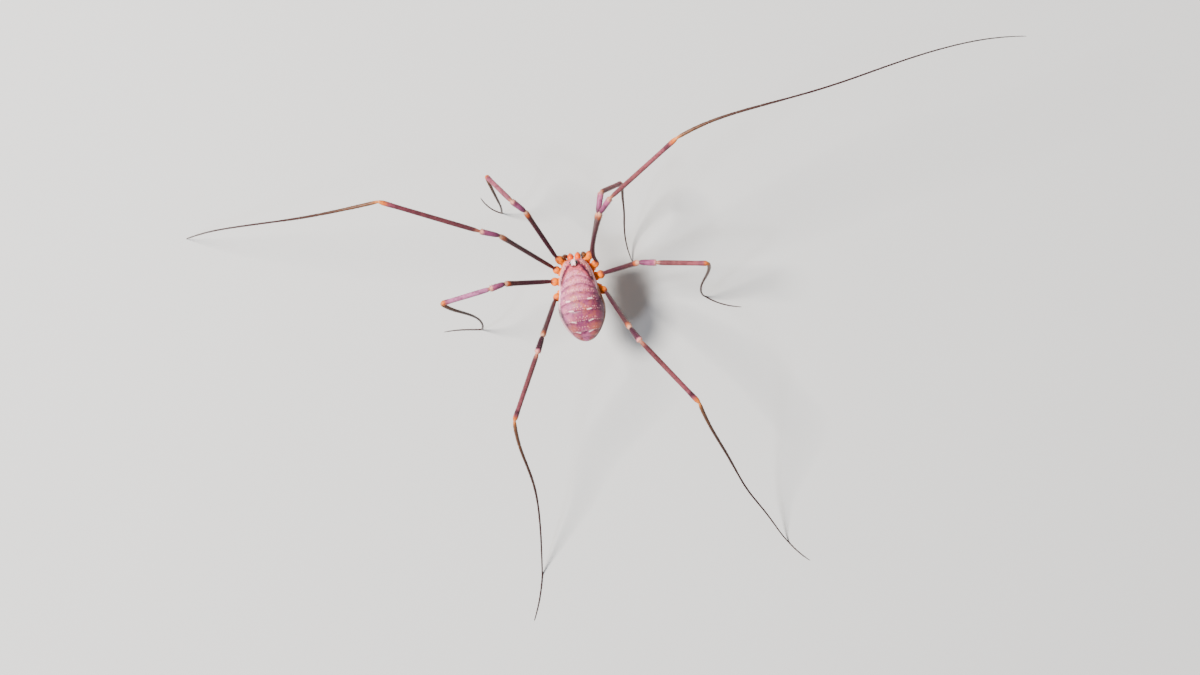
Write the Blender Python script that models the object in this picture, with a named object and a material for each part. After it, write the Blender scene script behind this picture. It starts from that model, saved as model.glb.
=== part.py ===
# A long-legged garden harvestman, life size, standing with its second right leg raised.
# Sizes are in millimetres in the tables below and turned into metres as the meshes are made.
# +Y is ahead of the animal, +X its right side, +Z up, and the floor is at z = 0.

import math

import bmesh
import bpy
from mathutils import Matrix, Vector

MM = 0.001
COLLECTION_NAME = "harvestman"
NODE_GAP = 0.1  # between neighbouring pieces, a fifth of a leg's thickness
SIDES = {"left": -1, "right": 1}

HIP_HEIGHT = 7.2  # of the joints between the trochanters and the femora

# Trunk outline: distance ahead of the middle, half width, then the heights of the widest
# line, the top and the underside above the hips
TRUNK = (
    (3.56, 0.46, 0.42, 0.66, 0.20),
    (3.48, 0.74, 0.40, 0.94, -0.10),
    (3.15, 1.00, 0.36, 1.25, -0.50),
    (2.60, 1.28, 0.35, 1.56, -0.62),
    (1.80, 1.50, 0.35, 1.82, -0.45),
    (0.80, 1.68, 0.35, 2.06, -0.40),
    (0.00, 1.87, 0.30, 2.18, -0.85),
    (-0.60, 1.95, 0.25, 2.18, -1.20),
    (-1.50, 1.82, 0.20, 1.90, -1.35),
    (-2.40, 1.38, 0.10, 1.30, -1.15),
    (-3.00, 0.88, 0.02, 0.70, -0.80),
    (-3.28, 0.48, -0.04, 0.32, -0.46),
    (-3.38, 0.14, -0.07, 0.06, -0.20),
)
TRUNK_SIDES = 28
WAIST = 1.80  # where the front and hind parts of the trunk meet
DOME_POWER = 0.92  # under 1 makes the section of the trunk boxier than an ellipse

# Borders between the back plates, ahead of the middle
PLATE_BORDERS = (2.40, 1.22, 0.70, 0.10, -0.75, -1.70, -2.55, -3.08)
BORDER_HALF_WIDTH = 0.07
BORDER_DEPTH = 0.05
BORDER_RINGS = (-1.6, -0.6, 0.0, 0.6, 1.6)  # cross-sections at a border, in half widths
RING_SPACING = 0.02  # the least between a cross-section and an end of the trunk
PLATE_SWELL = 0.03
PLATE_RISE = 4 * BORDER_HALF_WIDTH  # how far from a border a plate has its full swell

OCULARIUM_PLACE = (0.0, 3.26)
OCULARIUM_SIZE = (0.32, 0.33, 0.36)
OCULARIUM_LIFT = 0.18
OCULARIUM_FURROW = 0.09  # half width and depth of the furrow between its two lobes
OCULARIUM_SEGMENTS = 20
EYE_RADIUS = 0.14
EYE_OFFSET = (0.235, 0.03, 0.15)
EYE_GAP = 0.03
EYE_SEGMENTS = 12

# Legs I to IV. Inner end of each coxa, its trochanter and the hip, all on the right side.
COXA_INNER = ((0.34, 2.95), (0.38, 2.42), (0.40, 1.86), (0.42, 1.30))
TROCHANTER = ((1.27, 3.62), (1.74, 2.83), (1.99, 1.93), (2.04, 0.78))
HIP = ((1.52, 4.04), (1.87, 3.16), (2.29, 2.06), (2.20, 0.42))
COXA_DROP = 0.75  # below the hips
COXA_THICKEST = 0.55  # share of its length
COXA_RADII = (0.38, 0.42, 0.34)
TROCHANTER_DROP = 0.28
TROCHANTER_REACH = 0.24  # from the coxa's outer end to the middle of the trochanter
TROCHANTER_GAP = 0.15  # between the coxa and the trochanter
TROCHANTER_BULGE = 0.06
TROCHANTER_SHARES = (0.28, 0.55, 0.82)  # where its thickness is given, on the way to the hip
TROCHANTER_RADII = (0.28, 0.35, 0.35, 0.30, 0.20)
HIP_OVERRUN = 0.2
STERNUM_PLACES = (3.3, 2.9, 1.6, 1.05)
STERNUM_RADII = (0.3, 0.46, 0.46, 0.3)
HIP_SIDES = 10  # of the coxae, the sternum and the trochanters

# Segment lengths of legs I to IV, the same on both sides
SEGMENTS = ("femur", "patella", "tibia", "metatarsus", "tarsus")
LENGTHS = (
    (6.0, 1.8, 3.9, 4.7, 6.9),
    (9.6, 2.0, 9.0, 9.6, 21.2),
    (5.1, 1.5, 4.3, 6.2, 9.2),
    (7.6, 1.8, 7.1, 9.8, 12.0),
)
# Radii at the start, quarters and end of each segment
RADII = {
    "femur": (0.21, 0.26, 0.28, 0.27, 0.24),
    "patella": (0.22, 0.26, 0.30, 0.31, 0.27),
    "tibia": (0.24, 0.27, 0.27, 0.26, 0.25),
    "metatarsus": (0.24, 0.25, 0.24, 0.23, 0.21),
    "tarsus": (0.20, 0.18, 0.16, 0.14, 0.11),
}
QUARTERS = (0.0, 0.25, 0.5, 0.75, 1.0)
LOWER_STEPS = (12, 36)  # even steps along the metatarsus and the tarsus
RINGS = {"femur": 6, "patella": 4, "tibia": 4, "metatarsus": 8, "tarsus": 18}
LEG_SIDES = {"femur": 8, "patella": 8, "tibia": 8, "metatarsus": 8, "tarsus": 6}
OVERRUN = 0.7  # how far a limb is drawn past a joint before it is cut there
TARSUS_REST = 0.10  # height of the centre line of a tarsus that lies on the floor

# The pose. Each heading is degrees outward from straight ahead and degrees above level.
# Femur, patella and tibia are straight, but for the bow below. Past them the heading turns
# smoothly through the start, middle and end of the metatarsus and the first third, second
# third and tip of the tarsus. "lies" is the share of the tarsus that lies on the floor,
# None if raised.
POSE = {
    "left_1": {
        "upper": ((21, 43), (41, 44), (39, -35)),
        "lower": ((-175, -51), (-173, -60), (-182, -70), (-227, -79), (-290, -85), (-336, -85)),
        "lies": 0.33,
    },
    "left_2": {
        "upper": ((45, 62), (68, 42), (64, 23)),
        "lower": ((94, -4), (91, -20), (87, -36), (87, -51), (90, -65), (84, -79)),
        "lies": 0.0,
    },
    "left_3": {
        "upper": ((84, 46), (102, 38), (98, 14)),
        "lower": ((-139, -58), (-120, -66), (-143, -72), (-216, -76), (-276, -80), (-269, -80)),
        "lies": 0.35,
    },
    "left_4": {
        "upper": ((164, 67), (158, 40), (149, -30)),
        "lower": ((-189, -41), (-173, -41), (-186, -39), (-191, -37), (-193, -35), (-206, -32)),
        "lies": 0.33,
    },
    "right_1": {
        "upper": ((27, 57), (17, 1), (69, -66)),
        "lower": ((187, -83), (198, -69), (189, -57), (194, -47), (182, -38), (166, -28)),
        "lies": 0.0,
    },
    "right_2": {
        "upper": ((24, 65), (47, 42), (60, 34)),
        "lower": ((69, 9), (82, 4), (84, -2), (79, -11), (84, -23), (97, -37)),
        "lies": None,
    },
    "right_3": {
        "upper": ((84, 49), (100, 0), (100, 0)),
        "lower": ((-182, -80), (-140, -73), (-137, -69), (-171, -77), (-229, -84), (-259, -85)),
        "lies": 0.35,
    },
    "right_4": {
        "upper": ((148, 59), (148, 39), (146, -10)),
        "lower": ((172, -46), (162, -46), (164, -44), (153, -42), (156, -37), (132, -32)),
        "lies": 0.2,
    },
}
# How far a femur bows aside from the straight line between its joints, most near its base
FEMUR_BOW = {"right_2": (-0.45, 0.05, 0.0)}
BOW_POWER = 0.6
BOW_STEPS = 12

# Mouthparts on the right side: points along each, in height above the hips, and the radius
CHELICERA = (
    ((0.30, 3.70, 0.10), 0.20),
    ((0.31, 3.80, 0.16), 0.26),
    ((0.32, 3.86, 0.02), 0.25),
    ((0.32, 3.90, -0.33), 0.26),
    ((0.30, 3.84, -0.68), 0.21),
    ((0.28, 3.74, -0.98), 0.11),
)
CHELICERA_FINGER = ((0.21, 3.82, -0.63), (0.17, 3.72, -1.00))
CHELICERA_FINGER_RADII = (0.12, 0.06)
PEDIPALP = (
    ((0.82, 3.50, -0.40), 0.17),
    ((0.85, 3.64, -0.32), 0.20),
    ((0.90, 3.82, -0.05), 0.19),
    ((0.88, 3.90, 0.06), 0.21),
    ((0.83, 3.96, -0.06), 0.20),
    ((0.77, 3.98, -0.40), 0.18),
    ((0.68, 3.92, -0.80), 0.17),
    ((0.58, 3.78, -1.35), 0.16),
    ((0.52, 3.60, -1.80), 0.09),
)
MOUTHPART_SIDES = 10
FINGER_SIDES = 6

WELD_DISTANCE = 1e-8  # metres
CUT_TOLERANCE = 1e-9  # metres
SHARP_ANGLE = 50  # degrees between faces that are shaded as an edge

COLOURS = {
    "prosoma": (0.55, 0.22, 0.18),
    "opisthosoma": (0.50, 0.24, 0.25),
    "ocularium": (0.85, 0.66, 0.60),
    "eye": (0.01, 0.01, 0.012),
    "chelicera": (0.75, 0.30, 0.12),
    "pedipalp": (0.70, 0.26, 0.12),
    "trochanter": (0.90, 0.38, 0.08),
    "femur": (0.12, 0.045, 0.05),
    "patella": (0.30, 0.11, 0.20),
    "tibia": (0.36, 0.13, 0.12),
    "metatarsus": (0.12, 0.07, 0.06),
    "tarsus": (0.05, 0.02, 0.025),
}
ROUGHNESS = {"eye": 0.08, "opisthosoma": 0.45, "prosoma": 0.45}
COMMON_ROUGHNESS = 0.35


def clear_scene():
    for scene_object in list(bpy.data.objects):
        bpy.data.objects.remove(scene_object, do_unlink=True)


def make_collection(name):
    collection = bpy.data.collections.new(name)
    bpy.context.scene.collection.children.link(collection)
    return collection


def make_material(kind):
    material = bpy.data.materials.new(kind)
    material.use_nodes = True
    shader = material.node_tree.nodes["Principled BSDF"]
    shader.inputs["Base Color"].default_value = (*COLOURS[kind], 1.0)
    shader.inputs["Roughness"].default_value = ROUGHNESS.get(kind, COMMON_ROUGHNESS)
    shader.inputs["Metallic"].default_value = 0.0
    return material


def smooth_value(places, values, at):
    """Value at a place on the smooth curve through values, with places in rising order."""
    if at <= places[0]:
        return values[0]
    if at >= places[-1]:
        return values[-1]
    i = max(k for k in range(len(places) - 1) if places[k] <= at)
    slopes = []
    for k in (i, i + 1):
        low = max(k - 1, 0)
        high = min(k + 1, len(places) - 1)
        slopes.append((values[high] - values[low]) / (places[high] - places[low]))
    step = places[i + 1] - places[i]
    t = (at - places[i]) / step
    start = values[i] * (1 + 2 * t) * (1 - t) ** 2 + slopes[0] * step * t * (1 - t) ** 2
    end = values[i + 1] * t * t * (3 - 2 * t) - slopes[1] * step * t * t * (1 - t)
    return start + end


def heading_vector(azimuth, elevation, side):
    """Unit vector for degrees outward from straight ahead and degrees above level."""
    turn = math.radians(azimuth)
    climb = math.radians(elevation)
    flat = math.cos(climb)
    return Vector((side * math.sin(turn) * flat, math.cos(turn) * flat, math.sin(climb)))


def mesh_of(temporary):
    """The evaluated mesh of a temporary object, which is removed."""
    bpy.context.view_layer.update()
    graph = bpy.context.evaluated_depsgraph_get()
    mesh = bpy.data.meshes.new_from_object(temporary.evaluated_get(graph))
    bpy.data.objects.remove(temporary, do_unlink=True)
    return mesh


def temporary_object(data):
    temporary = bpy.data.objects.new("temporary", data)
    bpy.context.scene.collection.objects.link(temporary)
    return temporary


def tube_mesh(points, radii, sides):
    """Closed tube along points, all in millimetres, with flat ends."""
    curve = bpy.data.curves.new("guide", "CURVE")
    curve.dimensions = "3D"
    curve.bevel_depth = MM
    curve.bevel_resolution = (sides - 4) // 2
    curve.use_fill_caps = True
    spline = curve.splines.new("POLY")
    spline.points.add(len(points) - 1)
    for spline_point, point, radius in zip(spline.points, points, radii):
        spline_point.co = (*(Vector(point) * MM), 1.0)
        spline_point.radius = radius
    mesh = mesh_of(temporary_object(curve))
    cage = bmesh.new()
    cage.from_mesh(mesh)
    bmesh.ops.remove_doubles(cage, verts=cage.verts, dist=WELD_DISTANCE)
    bmesh.ops.recalc_face_normals(cage, faces=cage.faces)
    cage.to_mesh(mesh)
    cage.free()
    return mesh


def combined_mesh(base, others, operation):
    """Base mesh joined with or cut by closed meshes in one Boolean."""
    helpers = bpy.data.collections.new("helpers")
    bpy.context.scene.collection.children.link(helpers)
    for other in others:
        helpers.objects.link(bpy.data.objects.new("helper", other))
    target = temporary_object(base)
    boolean = target.modifiers.new("boolean", "BOOLEAN")
    boolean.operand_type = "COLLECTION"
    boolean.collection = helpers
    boolean.operation = operation
    boolean.solver = "EXACT"
    mesh = mesh_of(target)
    for helper in list(helpers.objects):
        bpy.data.objects.remove(helper, do_unlink=True)
    bpy.data.collections.remove(helpers)
    return largest_surface(mesh)


def largest_surface(mesh):
    """The mesh with only its largest connected surface left."""
    cage = bmesh.new()
    cage.from_mesh(mesh)
    unseen = set(cage.verts)
    largest = set()
    while unseen:
        island = {unseen.pop()}
        edge_of_search = list(island)
        while edge_of_search:
            vertex = edge_of_search.pop()
            for edge in vertex.link_edges:
                other = edge.other_vert(vertex)
                if other in unseen:
                    unseen.discard(other)
                    island.add(other)
                    edge_of_search.append(other)
        if len(island) > len(largest):
            largest = island
    bmesh.ops.delete(cage, geom=[v for v in cage.verts if v not in largest], context="VERTS")
    cage.to_mesh(mesh)
    cage.free()
    return mesh


def cut_off(mesh, point, outward):
    """Cuts a closed mesh flat half a gap short of a point in millimetres, and closes it."""
    cage = bmesh.new()
    cage.from_mesh(mesh)
    result = bmesh.ops.bisect_plane(
        cage,
        geom=cage.verts[:] + cage.edges[:] + cage.faces[:],
        dist=CUT_TOLERANCE,
        plane_co=(point - outward * NODE_GAP / 2) * MM,
        plane_no=outward,
        clear_outer=True,
    )
    rim = [item for item in result["geom_cut"] if isinstance(item, bmesh.types.BMEdge)]
    bmesh.ops.edgeloop_fill(cage, edges=rim)
    bmesh.ops.recalc_face_normals(cage, faces=cage.faces)
    cage.to_mesh(mesh)
    cage.free()


def trunk_ring(ahead, grow):
    """One cross-section of the trunk in millimetres, grow thicker all round."""
    places = [row[0] for row in reversed(TRUNK)]
    half, middle, top, under = (
        smooth_value(places, [row[k] for row in reversed(TRUNK)], ahead) for k in (1, 2, 3, 4)
    )
    border = min(abs(ahead - place) for place in PLATE_BORDERS)
    groove = BORDER_DEPTH * math.exp(-((border / BORDER_HALF_WIDTH) ** 2))
    swell = PLATE_SWELL * min(border / PLATE_RISE, 1.0)
    ring = []
    for k in range(TRUNK_SIDES):
        angle = 2 * math.pi * k / TRUNK_SIDES
        across = math.copysign(abs(math.cos(angle)) ** DOME_POWER, math.cos(angle))
        up = math.copysign(abs(math.sin(angle)) ** DOME_POWER, math.sin(angle))
        relief = (swell - groove) * max(up, 0.0) ** 0.5
        rise = top - middle if up > 0 else middle - under
        x = across * (half + grow + relief)
        z = HIP_HEIGHT + middle + up * (rise + grow + relief)
        ring.append(Vector((x, ahead, z)) * MM)
    return ring


def trunk_mesh(back, front, grow=0.0):
    """Loft of the trunk between two places, closed at both ends."""
    places = {back, front}
    places.update(row[0] for row in TRUNK if back < row[0] < front)
    for border in PLATE_BORDERS:
        for offset in BORDER_RINGS:
            place = border + offset * BORDER_HALF_WIDTH
            if back + RING_SPACING < place < front - RING_SPACING:
                places.add(round(place, 3))
    ordered = sorted(places)
    cage = bmesh.new()
    rings = [[cage.verts.new(co) for co in trunk_ring(place, grow)] for place in ordered]
    for ring, push in ((rings[0], -grow), (rings[-1], grow)):
        for vertex in ring:
            vertex.co.y += push * MM
    for low, high in zip(rings, rings[1:]):
        for k in range(TRUNK_SIDES):
            following = (k + 1) % TRUNK_SIDES
            cage.faces.new((low[k], high[k], high[following], low[following]))
    cage.faces.new(rings[0])
    cage.faces.new(rings[-1])
    bmesh.ops.recalc_face_normals(cage, faces=cage.faces)
    mesh = bpy.data.meshes.new("trunk")
    cage.to_mesh(mesh)
    cage.free()
    return mesh


def ball_mesh(centre, radii, segments):
    """Ellipsoid in millimetres."""
    cage = bmesh.new()
    matrix = Matrix.Translation(Vector(centre) * MM) @ Matrix.Diagonal((*radii, 1.0 / MM)) * MM
    bmesh.ops.create_uvsphere(
        cage, u_segments=segments, v_segments=segments // 2, radius=1.0, matrix=matrix
    )
    mesh = bpy.data.meshes.new("ball")
    cage.to_mesh(mesh)
    cage.free()
    return mesh


def body_point(point, side=1):
    """Point given by its height above the hips, on the right side or mirrored to the left."""
    return Vector((point[0] * side, point[1], point[2] + HIP_HEIGHT))


def coxa_axis(number, side):
    """Inner end of a coxa, its middle and the face that the trochanter meets."""
    inner = body_point((*COXA_INNER[number], -COXA_DROP), side)
    knob = body_point((*TROCHANTER[number], -TROCHANTER_DROP), side)
    outward = (knob - inner).normalized()
    outer = knob - outward * TROCHANTER_REACH
    return inner, inner.lerp(outer, COXA_THICKEST), outer, outward


def coxa_meshes(grow=0.0):
    """The eight coxae, grow thicker all round."""
    radii = [radius + grow for radius in COXA_RADII]
    return [
        tube_mesh(coxa_axis(number, side)[:3], radii, HIP_SIDES)
        for side in SIDES.values()
        for number in range(4)
    ]


def make_prosoma():
    """Front of the trunk with the eight coxae fused to it."""
    pieces = coxa_meshes()
    sternum = [body_point((0, ahead, -COXA_DROP)) for ahead in STERNUM_PLACES]
    pieces.append(tube_mesh(sternum, STERNUM_RADII, HIP_SIDES))
    front = trunk_mesh(WAIST + NODE_GAP / 2, TRUNK[0][0])
    whole = combined_mesh(front, pieces, "UNION")
    hind = trunk_mesh(TRUNK[-1][0], WAIST - NODE_GAP / 2, grow=NODE_GAP)
    return combined_mesh(whole, [hind], "DIFFERENCE")


def make_opisthosoma():
    return trunk_mesh(TRUNK[-1][0], WAIST - NODE_GAP / 2)


def ocularium_centre():
    x, y = OCULARIUM_PLACE
    places = [row[0] for row in reversed(TRUNK)]
    top = smooth_value(places, [row[3] for row in reversed(TRUNK)], y)
    return body_point((x, y, top + OCULARIUM_LIFT))


def eye_centre(side):
    across, ahead, up = EYE_OFFSET
    return ocularium_centre() + Vector((across * side, ahead, up))


def make_ocularium():
    """Two-lobed mound for the eyes, cut to stand on the trunk."""
    mound = ball_mesh(ocularium_centre(), OCULARIUM_SIZE, OCULARIUM_SEGMENTS)
    middle = ocularium_centre().z * MM
    depth = OCULARIUM_FURROW * MM
    for vertex in mound.vertices:
        furrow = depth * math.exp(-((vertex.co.x / depth) ** 2))
        if vertex.co.z > middle:
            vertex.co.z -= furrow * (vertex.co.z - middle) / (OCULARIUM_SIZE[2] * MM)
    cutters = [trunk_mesh(WAIST, TRUNK[0][0], grow=EYE_GAP * 2)]
    socket = EYE_RADIUS + EYE_GAP
    for side in SIDES.values():
        cutters.append(ball_mesh(eye_centre(side), (socket, socket, socket), EYE_SEGMENTS))
    return combined_mesh(mound, cutters, "DIFFERENCE")


def make_eye(side):
    return ball_mesh(eye_centre(side), (EYE_RADIUS, EYE_RADIUS, EYE_RADIUS), EYE_SEGMENTS)


def cleared_of_prosoma(mesh):
    """A mouthpart cut back to leave the usual gap to the carapace and the coxae."""
    carapace = trunk_mesh(WAIST, TRUNK[0][0], grow=NODE_GAP)
    return combined_mesh(mesh, [carapace, *coxa_meshes(grow=NODE_GAP)], "DIFFERENCE")


def make_chelicera(side):
    """Basal segment and hand with its two fingers."""
    points = [body_point(point, side) for point, _ in CHELICERA]
    body = tube_mesh(points, [radius for _, radius in CHELICERA], MOUTHPART_SIDES)
    finger_points = [body_point(point, side) for point in CHELICERA_FINGER]
    finger = tube_mesh(finger_points, CHELICERA_FINGER_RADII, FINGER_SIDES)
    return cleared_of_prosoma(combined_mesh(body, [finger], "UNION"))


def make_pedipalp(side):
    points = [body_point(point, side) for point, _ in PEDIPALP]
    whole = tube_mesh(points, [radius for _, radius in PEDIPALP], MOUTHPART_SIDES)
    return cleared_of_prosoma(whole)


def make_trochanter(number, side, femur_way):
    """Knob that turns from the coxa's direction to the femur's."""
    _, _, outer, outward = coxa_axis(number, side)
    hip = body_point((*HIP[number], 0.0), side)
    bulge = (outward - femur_way) * TROCHANTER_BULGE
    inner_third, middle, outer_third = (outer.lerp(hip, share) for share in TROCHANTER_SHARES)
    points = (
        outer,
        inner_third + bulge,
        middle + bulge,
        outer_third + bulge / 2,
        hip + femur_way * HIP_OVERRUN,
    )
    mesh = tube_mesh(points, TROCHANTER_RADII, HIP_SIDES)
    cut_off(mesh, outer + outward * TROCHANTER_GAP, -outward)
    cut_off(mesh, hip, femur_way)
    return mesh


def upper_joints(leg, number, side):
    """Joints at the ends of the femur, patella and tibia."""
    joints = [body_point((*HIP[number], 0.0), side)]
    for length, heading in zip(LENGTHS[number], POSE[leg]["upper"]):
        joints.append(joints[-1] + heading_vector(*heading, side) * length)
    return joints


def femur_path(leg, hip, knee):
    """Centre line of the femur, straight in all legs but the bowed one."""
    if leg not in FEMUR_BOW:
        return [hip, knee]
    bow = Vector(FEMUR_BOW[leg])
    path = []
    for k in range(BOW_STEPS + 1):
        share = k / BOW_STEPS
        path.append(hip.lerp(knee, share) + bow * math.sin(math.pi * share**BOW_POWER))
    return path


def lower_path(leg, number, side, start):
    """Centre line of the metatarsus and tarsus, eased to end on the floor if it stands."""
    metatarsus, tarsus = LENGTHS[number][3:]
    total = metatarsus + tarsus
    stations = [0.0, metatarsus / 2, metatarsus]
    stations += [metatarsus + tarsus / 3, metatarsus + tarsus * 2 / 3, total]
    azimuths = [heading[0] for heading in POSE[leg]["lower"]]
    elevations = [heading[1] for heading in POSE[leg]["lower"]]
    lies = POSE[leg]["lies"]
    touch = total - (lies or 0.0) * tarsus
    steps = [metatarsus / LOWER_STEPS[0]] * LOWER_STEPS[0]
    steps += [tarsus / LOWER_STEPS[1]] * LOWER_STEPS[1]
    path = [start.copy()]
    along = 0.0
    touch_height = 0.0
    for step in steps:
        middle = along + step / 2
        azimuth = smooth_value(stations, azimuths, middle)
        elevation = smooth_value(stations, elevations, middle) if middle < touch else 0.0
        path.append(path[-1] + heading_vector(azimuth, elevation, side) * step)
        along += step
        touch_height = path[-1].z
    if lies is not None:
        ease = (start.z - TARSUS_REST) / (start.z - touch_height)
        for point in path:
            point.z = max(TARSUS_REST, start.z - (start.z - point.z) * ease)
    return path


def along_path(path, share):
    """Point at a share of the way along a path of even steps."""
    place = share * (len(path) - 1)
    i = min(int(place), len(path) - 2)
    return path[i].lerp(path[i + 1], place - i)


def segment_mesh(segment, path, start_face, end_face):
    """Tube for one leg segment along a path, cut at the mitre planes of its joints."""
    start_way = (path[1] - path[0]).normalized()
    end_way = (path[-1] - path[-2]).normalized()
    rings = RINGS[segment]
    shares = [k / rings for k in range(rings + 1)]
    points = [along_path(path, share) for share in shares]
    radii = [smooth_value(QUARTERS, RADII[segment], share) for share in shares]
    points.insert(0, path[0] - start_way * OVERRUN)
    radii.insert(0, radii[0])
    if end_face:
        points.append(path[-1] + end_way * OVERRUN)
        radii.append(radii[-1])
    mesh = tube_mesh(points, radii, LEG_SIDES[segment])
    cut_off(mesh, path[0], -start_face)
    if end_face:
        cut_off(mesh, path[-1], end_face)
    for vertex in mesh.vertices:
        vertex.co.z = max(vertex.co.z, 0.0)
    return mesh


def add_node(name, kind, mesh, origin, parts, materials, root):
    """Named object for a mesh in world metres, with its origin at the given millimetres."""
    place = Vector(origin) * MM
    mesh.name = name
    mesh.transform(Matrix.Translation(-place))
    mesh.materials.clear()
    mesh.materials.append(materials[kind])
    mesh.shade_smooth()
    mesh.set_sharp_from_angle(angle=math.radians(SHARP_ANGLE))
    node = bpy.data.objects.new(name, mesh)
    node.location = place
    node.parent = root
    parts.objects.link(node)


def add_leg(name, number, side, add):
    joints = upper_joints(name, number, side)
    lower = lower_path(name, number, side, joints[3])
    ankle = LOWER_STEPS[0]
    paths = [femur_path(name, joints[0], joints[1]), joints[1:3], joints[2:4]]
    paths += [lower[: ankle + 1], lower[ankle:]]
    starts = [(path[1] - path[0]).normalized() for path in paths]
    ends = [(path[-1] - path[-2]).normalized() for path in paths]
    faces = [starts[0]]
    faces += [(end + start).normalized() for end, start in zip(ends, starts[1:])]
    faces.append(None)
    trochanter_mesh = make_trochanter(number, side, starts[0])
    add(f"trochanter_{name}", "trochanter", trochanter_mesh, joints[0])
    for segment, path, start_face, end_face in zip(SEGMENTS, paths, faces, faces[1:]):
        mesh = segment_mesh(segment, path, start_face, end_face)
        add(f"{segment}_{name}", segment, mesh, path[0])


def centre_on_floor(root):
    """Moves the root so that the model's box is centred on the origin."""
    bpy.context.view_layer.update()
    corners = [
        node.matrix_world @ vertex.co for node in root.children for vertex in node.data.vertices
    ]
    for axis in (0, 1):
        values = [corner[axis] for corner in corners]
        root.location[axis] = -(min(values) + max(values)) / 2


def main():
    clear_scene()
    parts = make_collection(COLLECTION_NAME)
    materials = {kind: make_material(kind) for kind in COLOURS}
    root = bpy.data.objects.new("harvestman_root", None)
    parts.objects.link(root)

    def add(name, kind, mesh, origin):
        add_node(name, kind, mesh, origin, parts, materials, root)

    waist = body_point((0, WAIST, 0))
    add("prosoma", "prosoma", make_prosoma(), waist)
    add("opisthosoma", "opisthosoma", make_opisthosoma(), waist)
    add("ocularium", "ocularium", make_ocularium(), ocularium_centre())
    for side_name, side in SIDES.items():
        add(f"eye_{side_name}", "eye", make_eye(side), eye_centre(side))
        chelicera_root = body_point(CHELICERA[0][0], side)
        add(f"chelicera_{side_name}", "chelicera", make_chelicera(side), chelicera_root)
        pedipalp_root = body_point(PEDIPALP[0][0], side)
        add(f"pedipalp_{side_name}", "pedipalp", make_pedipalp(side), pedipalp_root)
        for number in range(4):
            add_leg(f"{side_name}_{number + 1}", number, side, add)
    centre_on_floor(root)


main()
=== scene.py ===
# Looks of the harvestman: skin, markings, eyes, mouthparts, spines and hairs.
# Sizes are in millimetres in the animal's own frame, whose middle line is x = 0, and they are
# turned into metres of the row frame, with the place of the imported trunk, as meshes are made.

import math
from types import SimpleNamespace

import bmesh
import bpy
import numpy as np
from mathutils import Matrix, Vector
from mathutils.kdtree import KDTree


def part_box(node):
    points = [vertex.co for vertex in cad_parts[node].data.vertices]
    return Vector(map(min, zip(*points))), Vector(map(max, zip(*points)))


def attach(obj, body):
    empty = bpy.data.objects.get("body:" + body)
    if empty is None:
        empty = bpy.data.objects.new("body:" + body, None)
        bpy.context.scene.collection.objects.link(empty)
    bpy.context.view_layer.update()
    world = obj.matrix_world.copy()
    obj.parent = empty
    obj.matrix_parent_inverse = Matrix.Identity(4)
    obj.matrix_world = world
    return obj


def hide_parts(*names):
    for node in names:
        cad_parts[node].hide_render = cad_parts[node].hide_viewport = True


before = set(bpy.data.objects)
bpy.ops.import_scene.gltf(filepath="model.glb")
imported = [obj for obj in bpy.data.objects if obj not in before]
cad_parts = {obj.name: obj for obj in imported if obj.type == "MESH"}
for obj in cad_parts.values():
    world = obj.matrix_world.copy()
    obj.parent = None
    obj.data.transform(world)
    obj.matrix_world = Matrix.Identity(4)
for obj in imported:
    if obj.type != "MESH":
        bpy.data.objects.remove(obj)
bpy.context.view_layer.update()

MM = 0.001
SIDES = {"left": -1, "right": 1}
SEED = 7
FAR = 9.0  # a distance beyond any on the trunk
TINY = 1e-12

# The photograph's frame and the camera that sees the animal as it does
IMAGE_WIDTH = 1200
PIXEL_SIZE = 0.0845
CAMERA_DISTANCE = 350.0
CAMERA_AIM = (1.05, -3.27, 6.8)
CAMERA_TILT = 5.0  # degrees from straight down, towards the animal's right
CAMERA_ROLL = 9.13  # degrees that the animal is turned in the picture
CAMERA_CLIP_START = 0.01
SENSOR_WIDTH = 36.0

# The trunk as in the solids: distance ahead of the middle, half width, then the heights of
# the widest line, the top and the underside above the hips
HIP_HEIGHT = 7.2
TRUNK = (
    (-3.38, 0.14, -0.07, 0.06, -0.20),
    (-3.28, 0.48, -0.04, 0.32, -0.46),
    (-3.00, 0.88, 0.02, 0.70, -0.80),
    (-2.40, 1.38, 0.10, 1.30, -1.15),
    (-1.50, 1.82, 0.20, 1.90, -1.35),
    (-0.60, 1.95, 0.25, 2.18, -1.20),
    (0.00, 1.87, 0.30, 2.18, -0.85),
    (0.80, 1.68, 0.35, 2.06, -0.40),
    (1.80, 1.50, 0.35, 1.82, -0.45),
    (2.60, 1.28, 0.35, 1.56, -0.62),
    (3.15, 1.00, 0.36, 1.25, -0.50),
    (3.48, 0.74, 0.40, 0.94, -0.10),
    (3.56, 0.46, 0.42, 0.66, 0.20),
)
TAIL = TRUNK[0][0]
DOME_POWER = 0.92
TRUNK_RINGS = 170
TRUNK_SIDES = 120
CAGE_RINGS = 24
CAGE_SIDES = 32
POLE_GAP = 0.02  # radians left open at the poles of a ball
DOME_END = 0.97  # share of a quarter turn that a rounded end covers
SKIN_VOXEL = 0.03
SKIN_SMOOTHING = 5

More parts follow.
